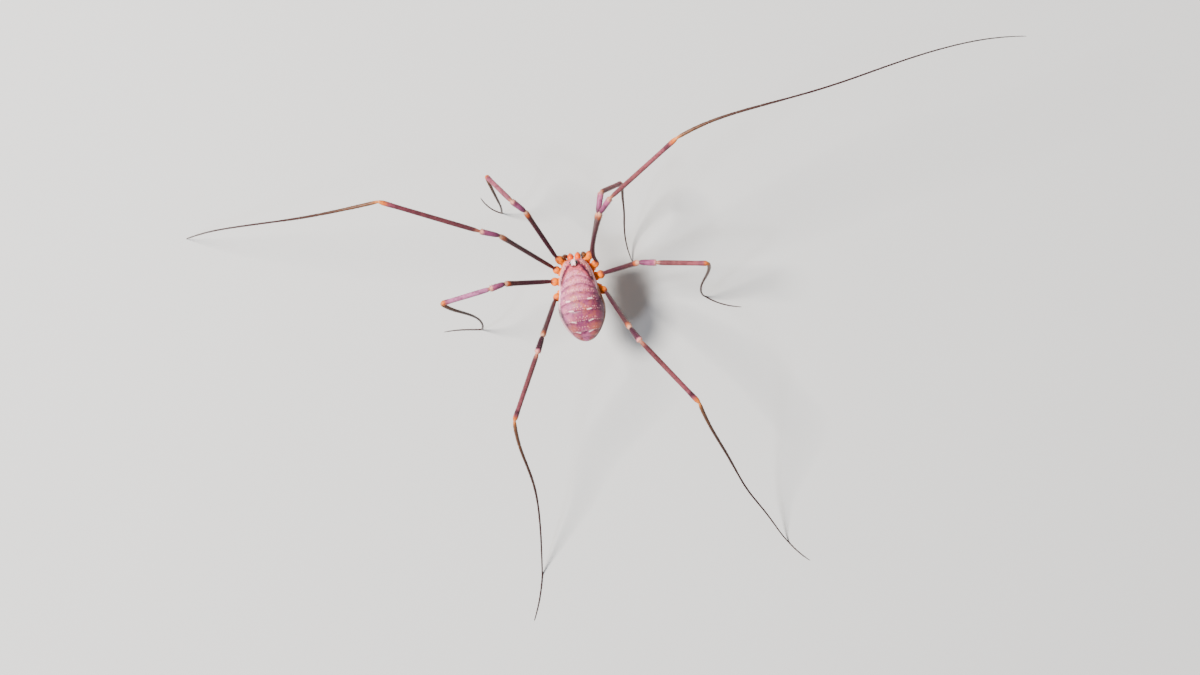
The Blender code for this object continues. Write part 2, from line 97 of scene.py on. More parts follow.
# Borders of the back plates: place ahead of the middle, how far they fall back at 1 mm aside,
# and how dark they are
BORDERS = (
    (2.22, 0.42, 0.45),
    (1.50, 0.26, 0.65),
    (0.80, 0.17, 0.60),
    (0.04, 0.10, 0.65),
    (-0.80, 0.05, 0.75),
    (-1.74, 0.02, 0.80),
    (-2.62, -0.02, 0.85),
    (-3.08, -0.04, 0.70),
)
BORDER_HALF_WIDTH = 0.06
BORDER_DEPTH = 0.030
GROOVE_RUN = (0.05, -0.10)  # where grooves come in behind the arch
STAIN_HALF_WIDTH = 0.17
STAIN_PLACE = -0.04  # behind its border
STAIN_RUN = (0.0, -0.15)
PLATE_SWELL = 0.024
PLATE_SWELL_RUN = 0.3
ARCH = (2.72, 0.72)  # front border of the back plates, the first two numbers of a border
ARCH_BLUR = (0.06, -0.06)
# Edge of the back plates: places ahead, and degrees round from the top
PLATE_EDGE = ((-3.38, 80.0), (-2.4, 68.0), (0.0, 66.0), (1.8, 66.0), (2.6, 72.0), (3.56, 84.0))
PLATE_BLUR = 2.0
PLATE_SHIFT = 7.0  # degrees that the hind plates sit towards the right
PLATE_SHIFT_RUN = (0.6, -1.0)
RIM = (1.5, 2.2)  # groove along the plates' edge: degrees below it and half width
RIM_DEPTH = 0.05
EDGE_LINE_AND_SHADE = (-2.5, 7.0)  # dark line along the edge, partly the plates' own dark edge and partly painted shade in the crease there, the same two numbers
EDGE_LINE_AND_SHADE_RUN = (0.6, -0.8)

# Soft side and belly. Turns are degrees round from the top
FLANK_END = 122.0
FLANK_SWELL = 0.03
FOLD_DEPTH = 0.010
FOLD_SPACING = 7.0
FOLD_WAVE = (3, 2.2)  # how strongly and how often the folds wander
RUSTY_FROM = 9.0  # degrees below the plates' edge where the soft side turns rusty
RIGHT_SHADE_SOONER = 15.0  # how much sooner it does on the right, which is painted shade of the side away from the light
RIGHT_SHADE_SOONER_RUN = (1.6, 0.6)
RUSTY_BLUR = 12.0
RUSTY_END = (4, -22)
BELLY_BLUR = 4
BELLY_SWELL = 0.02
BELLY_BORDERS = (0.35, -0.45, -1.15, -1.85, -2.50, -2.95)
BELLY_BORDER_HALF_WIDTH = 0.05
BELLY_BORDER_DEPTH = 0.035

# Dark bands that run back and outward from the eye mound, outside the arch: places ahead and
# distances from the middle line
MARK_PATH = ((1.10, 1.50), (1.59, 1.37), (2.22, 1.09), (2.73, 0.77), (3.12, 0.46), (3.30, 0.34))
MARK_WIDTH = 0.19
MARK_START = (1.30, 1.75)
MARK_END = (3.25, 3.05)
# Whitish dashes at four borders: place ahead, distance from the middle line, and how far the
# outer end lies ahead for each millimetre
DASHES = ((0.12, 0.92, 0.0), (-0.74, 0.77, 0.08), (-1.68, 0.74, 0.28), (-2.58, 0.55, 0.30))
DASH_SIZE = (0.23, 0.072)
DASH_LIFT = 0.016
# Dark spots: place ahead, distance from the middle line and size
DARK_SPOTS = (
    (1.85, 0.80, 0.09), (1.42, 1.12, 0.10), (0.87, 1.05, 0.12), (0.55, 0.62, 0.08),
    (0.28, 1.22, 0.10), (-0.22, 0.42, 0.09), (-0.52, 1.10, 0.11), (-1.10, 0.66, 0.08),
    (-1.95, 0.50, 0.09),
)
# Rows of pale round spots: place ahead, distances from the middle line and size
SPOTS = (
    (2.44, (0.20, 0.52), 0.060),
    (1.80, (0.14, 0.50, 0.88), 0.070),
    (1.02, (0.05, 0.42, 0.80, 1.15), 0.075),
    (0.42, (0.10, 0.36, 1.25), 0.070),
    (-0.42, (0.16, 0.48, 1.18), 0.060),
    (-1.30, (0.14, 0.45, 1.10), 0.060),
    (-2.16, (0.10, 0.35, 0.85), 0.055),
)
SPOT_ROW_BEND = 0.1
# Tints that come in over a part of the back, as products of ramps, between two values, and humps,
# with centre and half width. The values are those of a point's x, y or share of the half width
TINTED_AREAS = {
    # paler towards the front: partly the plates' own colour, partly painted light on the front, which
    # faces the light
    "front": (("ramp", "y", -0.4, 1.8),),
    "tail": (("ramp", "y", -2.1, -3.0), ("hump", "x", 0.0, 0.8)),
    "median": (("hump", "x", 0.0, 0.55), ("ramp", "y", -1.2, -0.6)),
    "hind_median": (("hump", "x", 0.05, 0.60), ("ramp", "y", -0.6, -1.3)),
    # painted light: the left side, which faces the light, turns paler and lavender
    "left_painted_light": (("ramp", "x", -0.3, -1.3),),
    "rear": (("ramp", "y", -1.3, -2.3), ("ramp", "across", 0.2, 0.6)),
    # dark saddle: a marking, made much darker on the right by painted shade
    "saddle_and_shade": (("hump", "y", -0.25, 1.05), ("ramp", "across", 0.34, 0.80)),
}
SADDLE_AND_SHADE_LEFT = 0.1  # share of the dark saddle that the left side has; the saddle is a marking, and its full strength on the right alone is painted shade

# Small tubercles: rows behind each border, as offset, spacing and size, and scattered ones on
# the carapace
TUBERCLE_ROWS = ((0.14, 0.17, 1.0), (0.33, 0.30, 0.8))
TUBERCLE_ROW_REACH = 0.86
TUBERCLE_JITTER = (0.025, 0.02)  # aside and ahead
TUBERCLE_BEHIND_ARCH = 0.05
TUBERCLE_SIZES = {"row": (0.7, 1.15), "scattered": (0.7, 1.35), "edge": (1.0, 1.5)}
TUBERCLE_RADIUS = 0.045
TUBERCLE_HEIGHT = 0.022
TUBERCLE_REACH = 0.16
SPECK_RADIUS = 0.055
SCATTERED = 110
SCATTER_ASIDE = (0.35, 1.12)
SCATTER_AHEAD = (1.9, 3.35)
SCATTER_MARK_GAP = 0.12
SCATTER_OUTER = 0.93  # share of the half width
EDGE_TUBERCLES = (2.0, 3.4, 0.15)  # places ahead, from and to, and their spacing
ON_PLATE = 0.3  # least plate mask that takes a tubercle

OCULARIUM_CENTRE = (0.0, 3.26)
OCULARIUM_SIZE = (0.30, 0.34, 0.36)
OCULARIUM_LIFT = 0.18
OCULARIUM_EDGE = (1.05, 1.25)  # share of its size where the mound ends
FURROW_HALF_WIDTH = 0.09
FURROW_DEPTH = 0.07
FURROW_RUN = (0.0, 0.2)
# The mound's cream coat: distances aside, ahead and up from its centre where it comes in
CREAM_ASIDE = (0.25, 0.15)
CREAM_AHEAD = (-0.28, -0.14)
CREAM_UP = (-0.02, 0.12)
MOUND_POINTS = 7  # pale points in a row on each side of the mound
MOUND_ROW_ASIDE = 0.45  # share of the mound's half width
MOUND_ROW_REACH = 0.62
EYE_RADIUS = 0.145
EYE_RINGS = 28
EYE_SIDES = 40
EYE_OFFSET = (0.235, 0.03, 0.15)

# Legs I to IV as in the solids
COXA_INNER = ((0.34, 2.95), (0.38, 2.42), (0.40, 1.86), (0.42, 1.30))
TROCHANTER = ((1.27, 3.62), (1.74, 2.83), (1.99, 1.93), (2.04, 0.78))
HIP = ((1.52, 4.04), (1.87, 3.16), (2.29, 2.06), (2.20, 0.42))
COXA_DROP = 0.75
COXA_RADII = (0.30, 0.39, 0.42, 0.40, 0.33)
COXA_OUTSIDE = (1.02, 1.10)  # level above the trunk's surface where a coxa begins
COXA_NEAR = (0.62, 0.48)
TROCHANTER_DROP = 0.28
TROCHANTER_REACH = 0.24
TROCHANTER_SINK = 0.08
TROCHANTER_LENGTH = 0.8
STERNUM_PLACES = (3.3, 2.9, 1.6, 1.05)
STERNUM_RADII = (0.3, 0.46, 0.46, 0.3)
SEGMENTS = ("trochanter", "femur", "patella", "tibia", "metatarsus", "tarsus")
# Lengths of femur, patella, tibia, metatarsus and tarsus
LENGTHS = (
    (6.0, 1.8, 3.9, 4.7, 6.9),
    (9.6, 2.0, 9.0, 9.6, 21.2),
    (5.1, 1.5, 4.3, 6.2, 9.2),
    (7.6, 1.8, 7.1, 9.8, 12.0),
)
LOWER_STEPS = (24, 72)
# Azimuth from straight ahead and elevation, in degrees, of femur, patella and tibia, then of six
# places along metatarsus and tarsus, and the share of the tarsus that lies on the floor, which is
# None for the raised leg
POSE = {
    "left_1": (
        ((21, 43), (41, 44), (39, -35)),
        ((-175, -51), (-173, -60), (-182, -70), (-227, -79), (-290, -85), (-336, -85)), 0.33),
    "left_2": (
        ((45, 62), (68, 42), (64, 23)),
        ((94, -4), (91, -20), (87, -36), (87, -51), (90, -65), (84, -79)), 0.0),
    "left_3": (
        ((84, 46), (102, 38), (98, 14)),
        ((-139, -58), (-120, -66), (-143, -72), (-216, -76), (-276, -80), (-269, -80)), 0.35),
    "left_4": (
        ((164, 67), (158, 40), (149, -30)),
        ((-189, -41), (-173, -41), (-186, -39), (-191, -37), (-193, -35), (-206, -32)), 0.33),
    "right_1": (
        ((27, 57), (17, 1), (69, -66)),
        ((187, -83), (198, -69), (189, -57), (194, -47), (182, -38), (166, -28)), 0.0),
    "right_2": (
        ((24, 65), (47, 42), (60, 34)),
        ((69, 9), (82, 4), (84, -2), (79, -11), (84, -23), (97, -37)), None),
    "right_3": (
        ((84, 49), (100, 0), (100, 0)),
        ((-182, -80), (-140, -73), (-137, -69), (-171, -77), (-229, -84), (-259, -85)), 0.35),
    "right_4": (
        ((148, 59), (148, 39), (146, -10)),
        ((172, -46), (162, -46), (164, -44), (153, -42), (156, -37), (132, -32)), 0.2),
}

# How far a femur bows aside from the straight line between its joints, most near its base
FEMUR_BOW = {"right_2": (-0.45, 0.05, 0.0)}
BOW_POWER = 0.6
FEMUR_STEPS = 30

# True radii along each leg segment, as share of the segment and radius
PROFILES = {
    "trochanter": ((0, 0.24), (0.2, 0.31), (0.42, 0.36), (0.62, 0.35), (0.82, 0.26), (1, 0.15)),
    "femur": ((0, 0.13), (0.05, 0.17), (0.3, 0.195), (0.8, 0.21), (0.95, 0.24), (1, 0.17)),
    "patella": ((0, 0.13), (0.15, 0.21), (0.5, 0.24), (0.85, 0.26), (0.94, 0.25), (1, 0.17)),
    "tibia": ((0, 0.13), (0.08, 0.20), (0.4, 0.21), (0.8, 0.20), (0.95, 0.22), (1, 0.14)),
    "metatarsus": ((0, 0.12), (0.06, 0.160), (0.4, 0.130), (0.9, 0.100), (1, 0.085)),
    "tarsus": ((0, 0.082), (0.1, 0.084), (0.5, 0.066), (0.9, 0.042), (1, 0.022)),
}
LEG_THICKNESS = (1.0, 0.94, 1.03, 1.0)
LEG_SIDES = 14
LEG_STEP = 0.05  # between rings
LEG_END_RINGS = 4
JOINT_SHOWS = (0.3, 1.0, 1.0, 0.8, 0.4)  # how pale each joint is, from the femur's base outward
JOINT_HALF_WIDTH = 0.07
CORNER_SOFTNESS = 0.12  # standard deviation of the smoothing that rounds the joints
TARSUS_REST = 0.055  # height of the centre line of a tarsus that lies on the floor
TARSOMERE_LENGTHS = (0.34, 0.16)  # at the base and the tip of a tarsus
TARSOMERE_SWELL = 0.16
TARSOMERE_SHOWS = 0.55
TARSOMERE_JOINT = 0.12
FALSE_JOINTS = (0.30, 0.55, 0.76, 0.90)  # shares of a metatarsus
FALSE_JOINT_HALF_WIDTH = 0.05
FALSE_JOINT_DEPTH = 0.16
FALSE_JOINT_SHOWS = 0.5
FACETS = 5
FACET_DEPTH = 0.03
FACET_RUN = ((1.0, 1.3), (4.2, 3.9))  # limb values where the facets come in and end
PATELLA_RUN = ((2.0, 2.1), (2.92, 2.80))
TIBIA_RUN = ((3.0, 3.1), (3.94, 3.8))
# How dark the patella, the tibia and the band near the tibia's end are on each leg, and how
# mauve the tibia is. The differences between legs are partly their own colour and partly painted
# light and shade, from how each leg lay towards the light
LEG_TINTS_AND_SHADE = {
    "left_1": (0.0, 0.0, 0.15, 0.1), "left_2": (0.1, 0.6, 0.4, 0.0),
    "left_3": (0.0, 0.0, 0.1, 0.7), "left_4": (0.97, 0.45, 0.9, 0.0),
    "right_1": (0.0, 0.0, 0.4, 0.0), "right_2": (0.1, 0.15, 0.7, 0.0),
    "right_3": (0.0, 0.0, 0.4, 0.0), "right_4": (0.9, 0.25, 0.85, 0.0),
}
BAND = (3.86, 0.05)

# Rows of spines on the upper leg: first and last limb value, spacing in millimetres, and
# height at the start and the end of the run
SPINE_RUNS = (
    (0.40, 0.80, 0.15, 0.030, 0.040),
    (1.06, 1.96, 0.24, 0.055, 0.085),
    (2.10, 2.93, 0.17, 0.070, 0.110),
    (3.06, 3.96, 0.22, 0.065, 0.060),
)
SPINE_ROWS = (-150, -100, -50, 0, 50, 100, 150)  # degrees round from the leg's back
SPINE_LEAN = 52.0  # degrees from the leg's line towards the surface's outward direction
SPINE_THICKNESS = 0.21  # radius as a share of the length
SPINE_SIDES = 5
HAIR_SPACING = 0.016
HAIR_LENGTHS = ((4.0, 0.11), (5.0, 0.10), (6.0, 0.07))
HAIR_LEAN = (22, 48)
HAIR_RUN = (4.03, 5.0, 5.99)  # limb values from the first hair to the last
HAIR_RADIUS = 0.005
HAIR_SIDES = 3
HAIR_CLEARANCE = 0.004
MAP_MARGIN = 0.02
PATCH_SIZE = 0.0015  # of one hair's foot on the bake's map
BODY_MAP = (0.22, 0.12)  # how much of the map a millimetre of the back takes
BRISTLE_MIDDLE = (0.5, 0.62)  # shares of length and radius at a bristle's middle ring
UPRIGHT = 0.9  # upward part of a direction from which another axis is needed
SPIKE_SIDES = 6
DENTICLE_HEIGHT = 0.045
DENTICLE_THICKNESS = 0.28
DENTICLE_LEAN = (0.0, -0.35, 0.15)
DENTICLE_REACH = 0.06
DENTICLE_PLACE = (0.5, 0.1)  # least plate mask and least upward part of the normal
MOUND_POINT_HEIGHTS = (0.05, 0.08)
MOUND_POINT_THICKNESS = 0.26
CLAW_LENGTH = 0.16
CLAW_TURN = 1.25  # radians
CLAW_CURL = 0.8  # radius of the hook as a share of the length
CLAW_SINK = 0.01
CLAW_SIDES = 8
CLAW_RINGS = 9
CLAW_RADII = (0.019, 0.003)
CLAW_LOWEST = 0.012

# Mouthparts on the right side: points in height above the hips, radii, and necks at joints as
# share of the way, depth and half width
JAW = (
    ((0.30, 3.55, 0.02), (0.31, 3.74, 0.14), (0.32, 3.94, 0.12), (0.32, 4.05, -0.04),
     (0.32, 3.99, -0.26), (0.31, 3.92, -0.50), (0.30, 3.84, -0.76), (0.27, 3.76, -1.02)),
    (0.21, 0.26, 0.20, 0.12, 0.18, 0.205, 0.15, 0.03),
    ((0.34, 0.20, 0.04),),
)
JAW_FINGER = (
    ((0.24, 3.90, -0.50), (0.17, 3.84, -0.74), (0.18, 3.74, -1.03)),
    (0.13, 0.09, 0.025),
    (),
)
PALP = (
    ((0.82, 3.40, -0.46), (0.85, 3.64, -0.32), (0.90, 3.82, -0.05), (0.88, 3.90, 0.06),
     (0.83, 3.96, -0.06), (0.77, 3.98, -0.40), (0.68, 3.92, -0.80), (0.58, 3.78, -1.35),
     (0.52, 3.60, -1.80)),
    (0.14, 0.16, 0.15, 0.165, 0.155, 0.15, 0.13, 0.11, 0.05),
    ((0.17, 0.30, 0.03), (0.36, 0.30, 0.03), (0.50, 0.32, 0.03), (0.66, 0.34, 0.03)),
)
# Each mouthpart's node, its tubes and the number of its hairs
MOUTHPARTS = {"jaw": ("chelicera", (JAW, JAW_FINGER), 120), "palp": ("pedipalp", (PALP,), 320)}
MOUTHPART_SIDES = 24
MOUTHPART_RINGS = 90
RISING_STEP = 1e-9
MOUTH_HAIR_RUN = (0.12, 0.97)
MOUTH_HAIR_LEAN = (30, 60)
MOUTH_HAIR_HEIGHTS = (0.07, 0.14)
MOUTH_HAIR_RADIUS = 0.006

FLOOR_SIZE = 6.0
FLOOR_COLOUR = (0.58, 0.575, 0.565)
FLOOR_CLOUDS = 1.02  # how much paler the floor gets in places
WORLD_COLOUR = (0.93, 0.95, 1.0)
WORLD_STRENGTH = 0.29
LIGHT_DISTANCE = 0.45
# Lights: direction they come from, size, power and colour
LIGHTS = {
    "key": ((-0.45, 0.21, 0.87), 0.11, 5.6, (1.0, 0.965, 0.92)),
    "sky": ((-0.42, -0.14, 0.90), 0.05, 0.75, (0.80, 0.88, 1.0)),
}

OFFSET = Vector((
    (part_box("opisthosoma")[0].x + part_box("opisthosoma")[1].x) / 2,
    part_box("opisthosoma")[0].y - TAIL * MM,
    0.0,
))


# Curves and small numeric helpers

def smooth_curve(places, values, at):
    """Values on the smooth curve through a table at the given places, in rising order."""
    places = np.asarray(places, float)
    values = np.asarray(values, float)
    low = np.maximum(np.arange(len(places)) - 1, 0)
    high = np.minimum(np.arange(len(places)) + 1, len(places) - 1)
    slopes = (values[high] - values[low]) / (places[high] - places[low])
    at = np.clip(at, places[0], places[-1])
    i = np.clip(np.searchsorted(places, at, side="right") - 1, 0, len(places) - 2)
    step = places[i + 1] - places[i]
    t = (at - places[i]) / step
    start = values[i] * (1 + 2 * t) * (1 - t) ** 2 + slopes[i] * step * t * (1 - t) ** 2
    end = values[i + 1] * t * t * (3 - 2 * t) - slopes[i + 1] * step * t * t * (1 - t)
    return start + end


def even_curve(values, share):
    return smooth_curve(np.linspace(0.0, 1.0, len(values)), values, share)


def rise(low, high, at):
    """0 at low, 1 at high, smooth between and level beyond."""
    t = np.clip((at - low) / (high - low), 0.0, 1.0)
    return t * t * (3 - 2 * t)


def hump(at, centre, width):
    return np.exp(-(((at - centre) / width) ** 2))


def unit(vectors):
    return vectors / np.maximum(np.linalg.norm(vectors, axis=-1, keepdims=True), TINY)


def reach_along(points):
    """Distance of each point from the first, measured along the line."""
    return np.concatenate([[0.0], np.cumsum(np.linalg.norm(np.diff(points, axis=0), axis=1))])


def polyline(points, count):
    """Even points on a smooth curve through a few points, and their share of the way."""
    points = np.asarray(points, float)
    reach = reach_along(points)
    share = np.linspace(0.0, 1.0, count)
    columns = [smooth_curve(reach / reach[-1], points[:, k], share) for k in range(3)]
    return np.stack(columns, axis=1), share


# Meshes and objects

def add_object(name, data):
    made = bpy.data.objects.new(name, data)
    bpy.context.scene.collection.objects.link(made)
    return made


def set_masks(mesh, masks):
    for name, values in masks.items():
        attribute = mesh.attributes.new(name, "FLOAT", "POINT")
        attribute.data.foreach_set("value", np.asarray(values, np.float32))


def mesh_from(name, points, faces, masks):
    """Smooth mesh in metres from points in millimetres, with a float attribute per mask."""
    mesh = bpy.data.meshes.new(name)
    mesh.from_pydata((points * MM + np.array(OFFSET)).tolist(), [], faces)
    set_masks(mesh, masks)
    mesh.shade_smooth()
    mesh.update()
    return mesh


def mesh_arrays(mesh):
    points = np.zeros(len(mesh.vertices) * 3)
    mesh.vertices.foreach_get("co", points)
    normals = np.zeros(len(mesh.vertices) * 3)
    mesh.vertices.foreach_get("normal", normals)
    return points.reshape(-1, 3), normals.reshape(-1, 3)


def add_piece(name, mesh, material, replaced=()):
    piece = add_object(name, mesh)
    mesh.materials.clear()
    mesh.materials.append(material)
    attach(piece, "root")
    if replaced:
        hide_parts(*replaced)


def transported_frames(points):
    """Tangent, upper and side unit vectors along a line, turning as little as they can."""
    ways = unit(np.gradient(points, axis=0))
    upper = np.array((0.0, 0.0, 1.0))
    nearly_upright = 0.95
    if abs(ways[0] @ upper) > nearly_upright:
        upper = np.array((0.0, 1.0, 0.0))
    uppers = []
    for way in ways:
        upper = upper - way * (upper @ way)
        upper = upper / np.linalg.norm(upper)
        uppers.append(upper)
    uppers = np.array(uppers)
    return ways, uppers, np.cross(ways, uppers)


def tube_faces(rings, sides):
    """Quads of a tube of rings, and the two faces that close its ends."""
    faces = []
    for i in range(rings - 1):
        for k in range(sides):
            here = i * sides
            there = here + sides
            after = (k + 1) % sides
            faces.append((here + k, here + after, there + after, there + k))
    faces.append(tuple(reversed(range(sides))))
    last = (rings - 1) * sides
    faces.append(tuple(last + k for k in range(sides)))
    return faces


def tube(line, radii, sides):
    """Points and faces of a tube round a line, with a radius for each ring or for each point."""
    _, uppers, asides = transported_frames(line)
    angles = np.linspace(0.0, 2 * math.pi, sides, endpoint=False)
    round_about = (
        np.cos(angles)[None, :, None] * uppers[:, None, :]
        + np.sin(angles)[None, :, None] * asides[:, None, :]
    )
    if radii.ndim == 1:
        radii = radii[:, None]
    rings = line[:, None, :] + round_about * radii[:, :, None]
    return rings.reshape(-1, 3), tube_faces(len(line), sides)


def rounded_ends(points, radii, end=True, rings=5):
    """Extra rings at the ends of a line so that a tube round it closes in a dome."""
    turns = np.linspace(0.0, math.pi / 2, rings + 1)[1:] * DOME_END
    reach, shrink = np.sin(turns)[:, None], np.cos(turns)
    dome = points[0] + unit(points[0] - points[1]) * radii[0] * reach
    points = np.concatenate([dome[::-1], points])
    radii = np.concatenate([(radii[0] * shrink)[::-1], radii])
    if end:
        dome = points[-1] + unit(points[-1] - points[-2]) * radii[-1] * reach
        points = np.concatenate([points, dome])
        radii = np.concatenate([radii, radii[-1] * shrink])
    return points, radii


def joined(shapes):
    """Points and faces of several shapes as one."""
    points, faces, first = [], [], 0
    for shape_points, shape_faces in shapes:
        points.append(shape_points)
        faces += [tuple(first + k for k in face) for face in shape_faces]
        first += len(shape_points)
    return np.concatenate(points), faces


# The trunk's shape

def body_point(point, side=1):
    return np.array((point[0] * side, point[1], point[2] + HIP_HEIGHT))


def trunk_section(ahead):
    """Half width and the heights of the middle, top and underside above the hips."""
    places = [row[0] for row in TRUNK]
    return [smooth_curve(places, [row[k] for row in TRUNK], ahead) for k in (1, 2, 3, 4)]


def domed(values):
    return np.sign(values) * np.abs(values) ** DOME_POWER


def trunk_cage():
    """Plain closed loft of the trunk: points and faces."""
    places = np.linspace(TRUNK[0][0], TRUNK[-1][0], TRUNK_RINGS)
    angles = np.linspace(0.0, 2 * math.pi, TRUNK_SIDES, endpoint=False)
    half, middle, top, under = (value[:, None] for value in trunk_section(places))
    height = domed(np.sin(angles))[None, :]
    x = domed(np.cos(angles))[None, :] * half
    y = np.repeat(places[:, None], TRUNK_SIDES, axis=1)
    z = HIP_HEIGHT + middle + height * np.where(height > 0, top - middle, middle - under)
    return np.stack([x, y, z], axis=2).reshape(-1, 3), tube_faces(TRUNK_RINGS, TRUNK_SIDES)


def coxa_ends(number, side):
    inner = body_point((*COXA_INNER[number], -COXA_DROP), side)
    knob = body_point((*TROCHANTER[number], -TROCHANTER_DROP), side)
    outward = unit(knob - inner)
    return inner, knob - outward * TROCHANTER_REACH, outward


def ocularium_centre():
    x, y = OCULARIUM_CENTRE
    return body_point((x, y, float(trunk_section(y)[2]) + OCULARIUM_LIFT))


def ball(centre, size, rings=CAGE_RINGS, sides=CAGE_SIDES):
    turns = np.linspace(POLE_GAP, math.pi - POLE_GAP, rings)
    angles = np.linspace(0.0, 2 * math.pi, sides, endpoint=False)
    x = np.sin(turns)[:, None] * np.cos(angles)[None, :] * size[0]
    y = np.sin(turns)[:, None] * np.sin(angles)[None, :] * size[1]
    z = np.repeat(-np.cos(turns)[:, None], sides, axis=1) * size[2]
    return np.stack([x, y, z], axis=2).reshape(-1, 3) + centre, tube_faces(rings, sides)


def coxa_cage(number, side):
    inner, outer, _ = coxa_ends(number, side)
    share = np.linspace(0.0, 1.0, CAGE_RINGS)
    line = inner + (outer - inner) * share[:, None]
    return tube(*rounded_ends(line, even_curve(COXA_RADII, share), end=False), CAGE_SIDES)


def sternum_cage():
    points = [body_point((0, ahead, -COXA_DROP)) for ahead in STERNUM_PLACES]
    line, share = polyline(points, CAGE_RINGS)
    return tube(line, even_curve(STERNUM_RADII, share), CAGE_SIDES)


def skin_cage():
    """One closed surface round the trunk, the coxae, the sternum and the eye mound."""
    cages = [trunk_cage(), sternum_cage(), ball(ocularium_centre(), OCULARIUM_SIZE)]
    cages += [coxa_cage(number, side) for side in SIDES.values() for number in range(4)]
    points, faces = joined(cages)
    mesh = bpy.data.meshes.new("skin_cage")
    mesh.from_pydata(points.tolist(), [], faces)
    cage = bmesh.new()
    cage.from_mesh(mesh)
    bmesh.ops.recalc_face_normals(cage, faces=cage.faces)
    cage.to_mesh(mesh)
    cage.free()
    helper = add_object("skin_cage", mesh)
    remesh = helper.modifiers.new("remesh", "REMESH")
    remesh.mode = "VOXEL"
    remesh.voxel_size = SKIN_VOXEL
    smooth = helper.modifiers.new("smooth", "SMOOTH")
    smooth.factor = 0.5
    smooth.iterations = SKIN_SMOOTHING
    bpy.context.view_layer.update()
    graph = bpy.context.evaluated_depsgraph_get()
    skin = bpy.data.meshes.new_from_object(helper.evaluated_get(graph))
    bpy.data.objects.remove(helper, do_unlink=True)
    return skin


def ahead_of(x, y, place, fall):
    """How far a place lies ahead of a curved border."""
    return y - (place - fall * x**2)


def nearest_coxa(points):
    """Distance from the middle line of the nearest coxa, and the share of the way along it."""
    nearest = np.full(len(points), FAR)
    share = np.zeros(len(points))
    for side in SIDES.values():
        for number in range(4):
            inner, outer, _ = coxa_ends(number, side)
            way = outer - inner
            along = np.clip((points - inner) @ way / np.sum(way**2), 0, 1)
            distance = np.linalg.norm(points - inner - along[:, None] * way, axis=1)
            closer = distance < nearest
            nearest = np.where(closer, distance, nearest)
            share = np.where(closer, along, share)
    return nearest, share


def skin_regions(points):
    """Where each skin point lies: on the plates, the soft side, the belly, a coxa or the mound."""
    x, y, z = points.T
    half, middle, top, under = trunk_section(y)
    height = z - HIP_HEIGHT - middle
    lift = height / np.where(height > 0, top - middle, middle - under)
    across = np.abs(x) / half
    degrees = np.degrees(np.arctan2(across, lift))
    shift = PLATE_SHIFT * np.sign(x) * rise(*PLATE_SHIFT_RUN, y)
    edge = np.interp(y, *zip(*PLATE_EDGE)) + shift
    away = np.linalg.norm((points - ocularium_centre()) / np.array(OCULARIUM_SIZE), axis=1)
    mound = 1 - rise(*OCULARIUM_EDGE, away)
    nearest, share = nearest_coxa(points)
    coxa = rise(*COXA_OUTSIDE, np.hypot(across, lift)) * (1 - mound) * rise(*COXA_NEAR, nearest)
    plate = rise(edge + PLATE_BLUR, edge - PLATE_BLUR, degrees) * (1 - coxa) * (1 - mound)
    belly = rise(FLANK_END - BELLY_BLUR, FLANK_END + BELLY_BLUR, degrees) * (1 - coxa)
    return SimpleNamespace(
        x=x, y=y, z=z, across=across, degrees=degrees, edge=edge, plate=plate, belly=belly,
        flank=np.clip(1 - plate - belly - coxa - mound, 0, 1), coxa=coxa, coxa_share=share,
        mound=mound, hind=rise(*ARCH_BLUR, ahead_of(x, y, *ARCH)),
    )


def mark_aside(ahead):
    return smooth_curve(*zip(*MARK_PATH), ahead)


def tubercle_places():
    """Seeded places of the small tubercles: distance aside, place ahead and size."""
    draw = np.random.default_rng(SEED)
    places = []
    for border, fall, _ in BORDERS[:-1]:
        for offset, spacing, size in TUBERCLE_ROWS:
            reach = TUBERCLE_ROW_REACH * float(trunk_section(border)[0])
            for x in np.arange(-reach, reach, spacing):
                x = x + draw.normal(0, TUBERCLE_JITTER[0])
                y = border + offset - fall * x**2 + draw.normal(0, TUBERCLE_JITTER[1])
                size_here = size * draw.uniform(*TUBERCLE_SIZES["row"])
                if ahead_of(x, y, *ARCH) < -TUBERCLE_BEHIND_ARCH:
                    places.append((x, y, size_here))
    for side in SIDES.values():
        for _ in range(SCATTERED):
            x = draw.uniform(*SCATTER_ASIDE)
            y = draw.uniform(*SCATTER_AHEAD)
            size = draw.uniform(*TUBERCLE_SIZES["scattered"])
            outer = SCATTER_OUTER * float(trunk_section(y)[0])
            if mark_aside(y) + SCATTER_MARK_GAP < x < outer:
                places.append((side * x, y, size))
        for y in np.arange(*EDGE_TUBERCLES):
            half = float(trunk_section(y)[0])
            size = draw.uniform(*TUBERCLE_SIZES["edge"])
            places.append((side * half * TUBERCLE_ROW_REACH, y, size))
    return np.array(places)


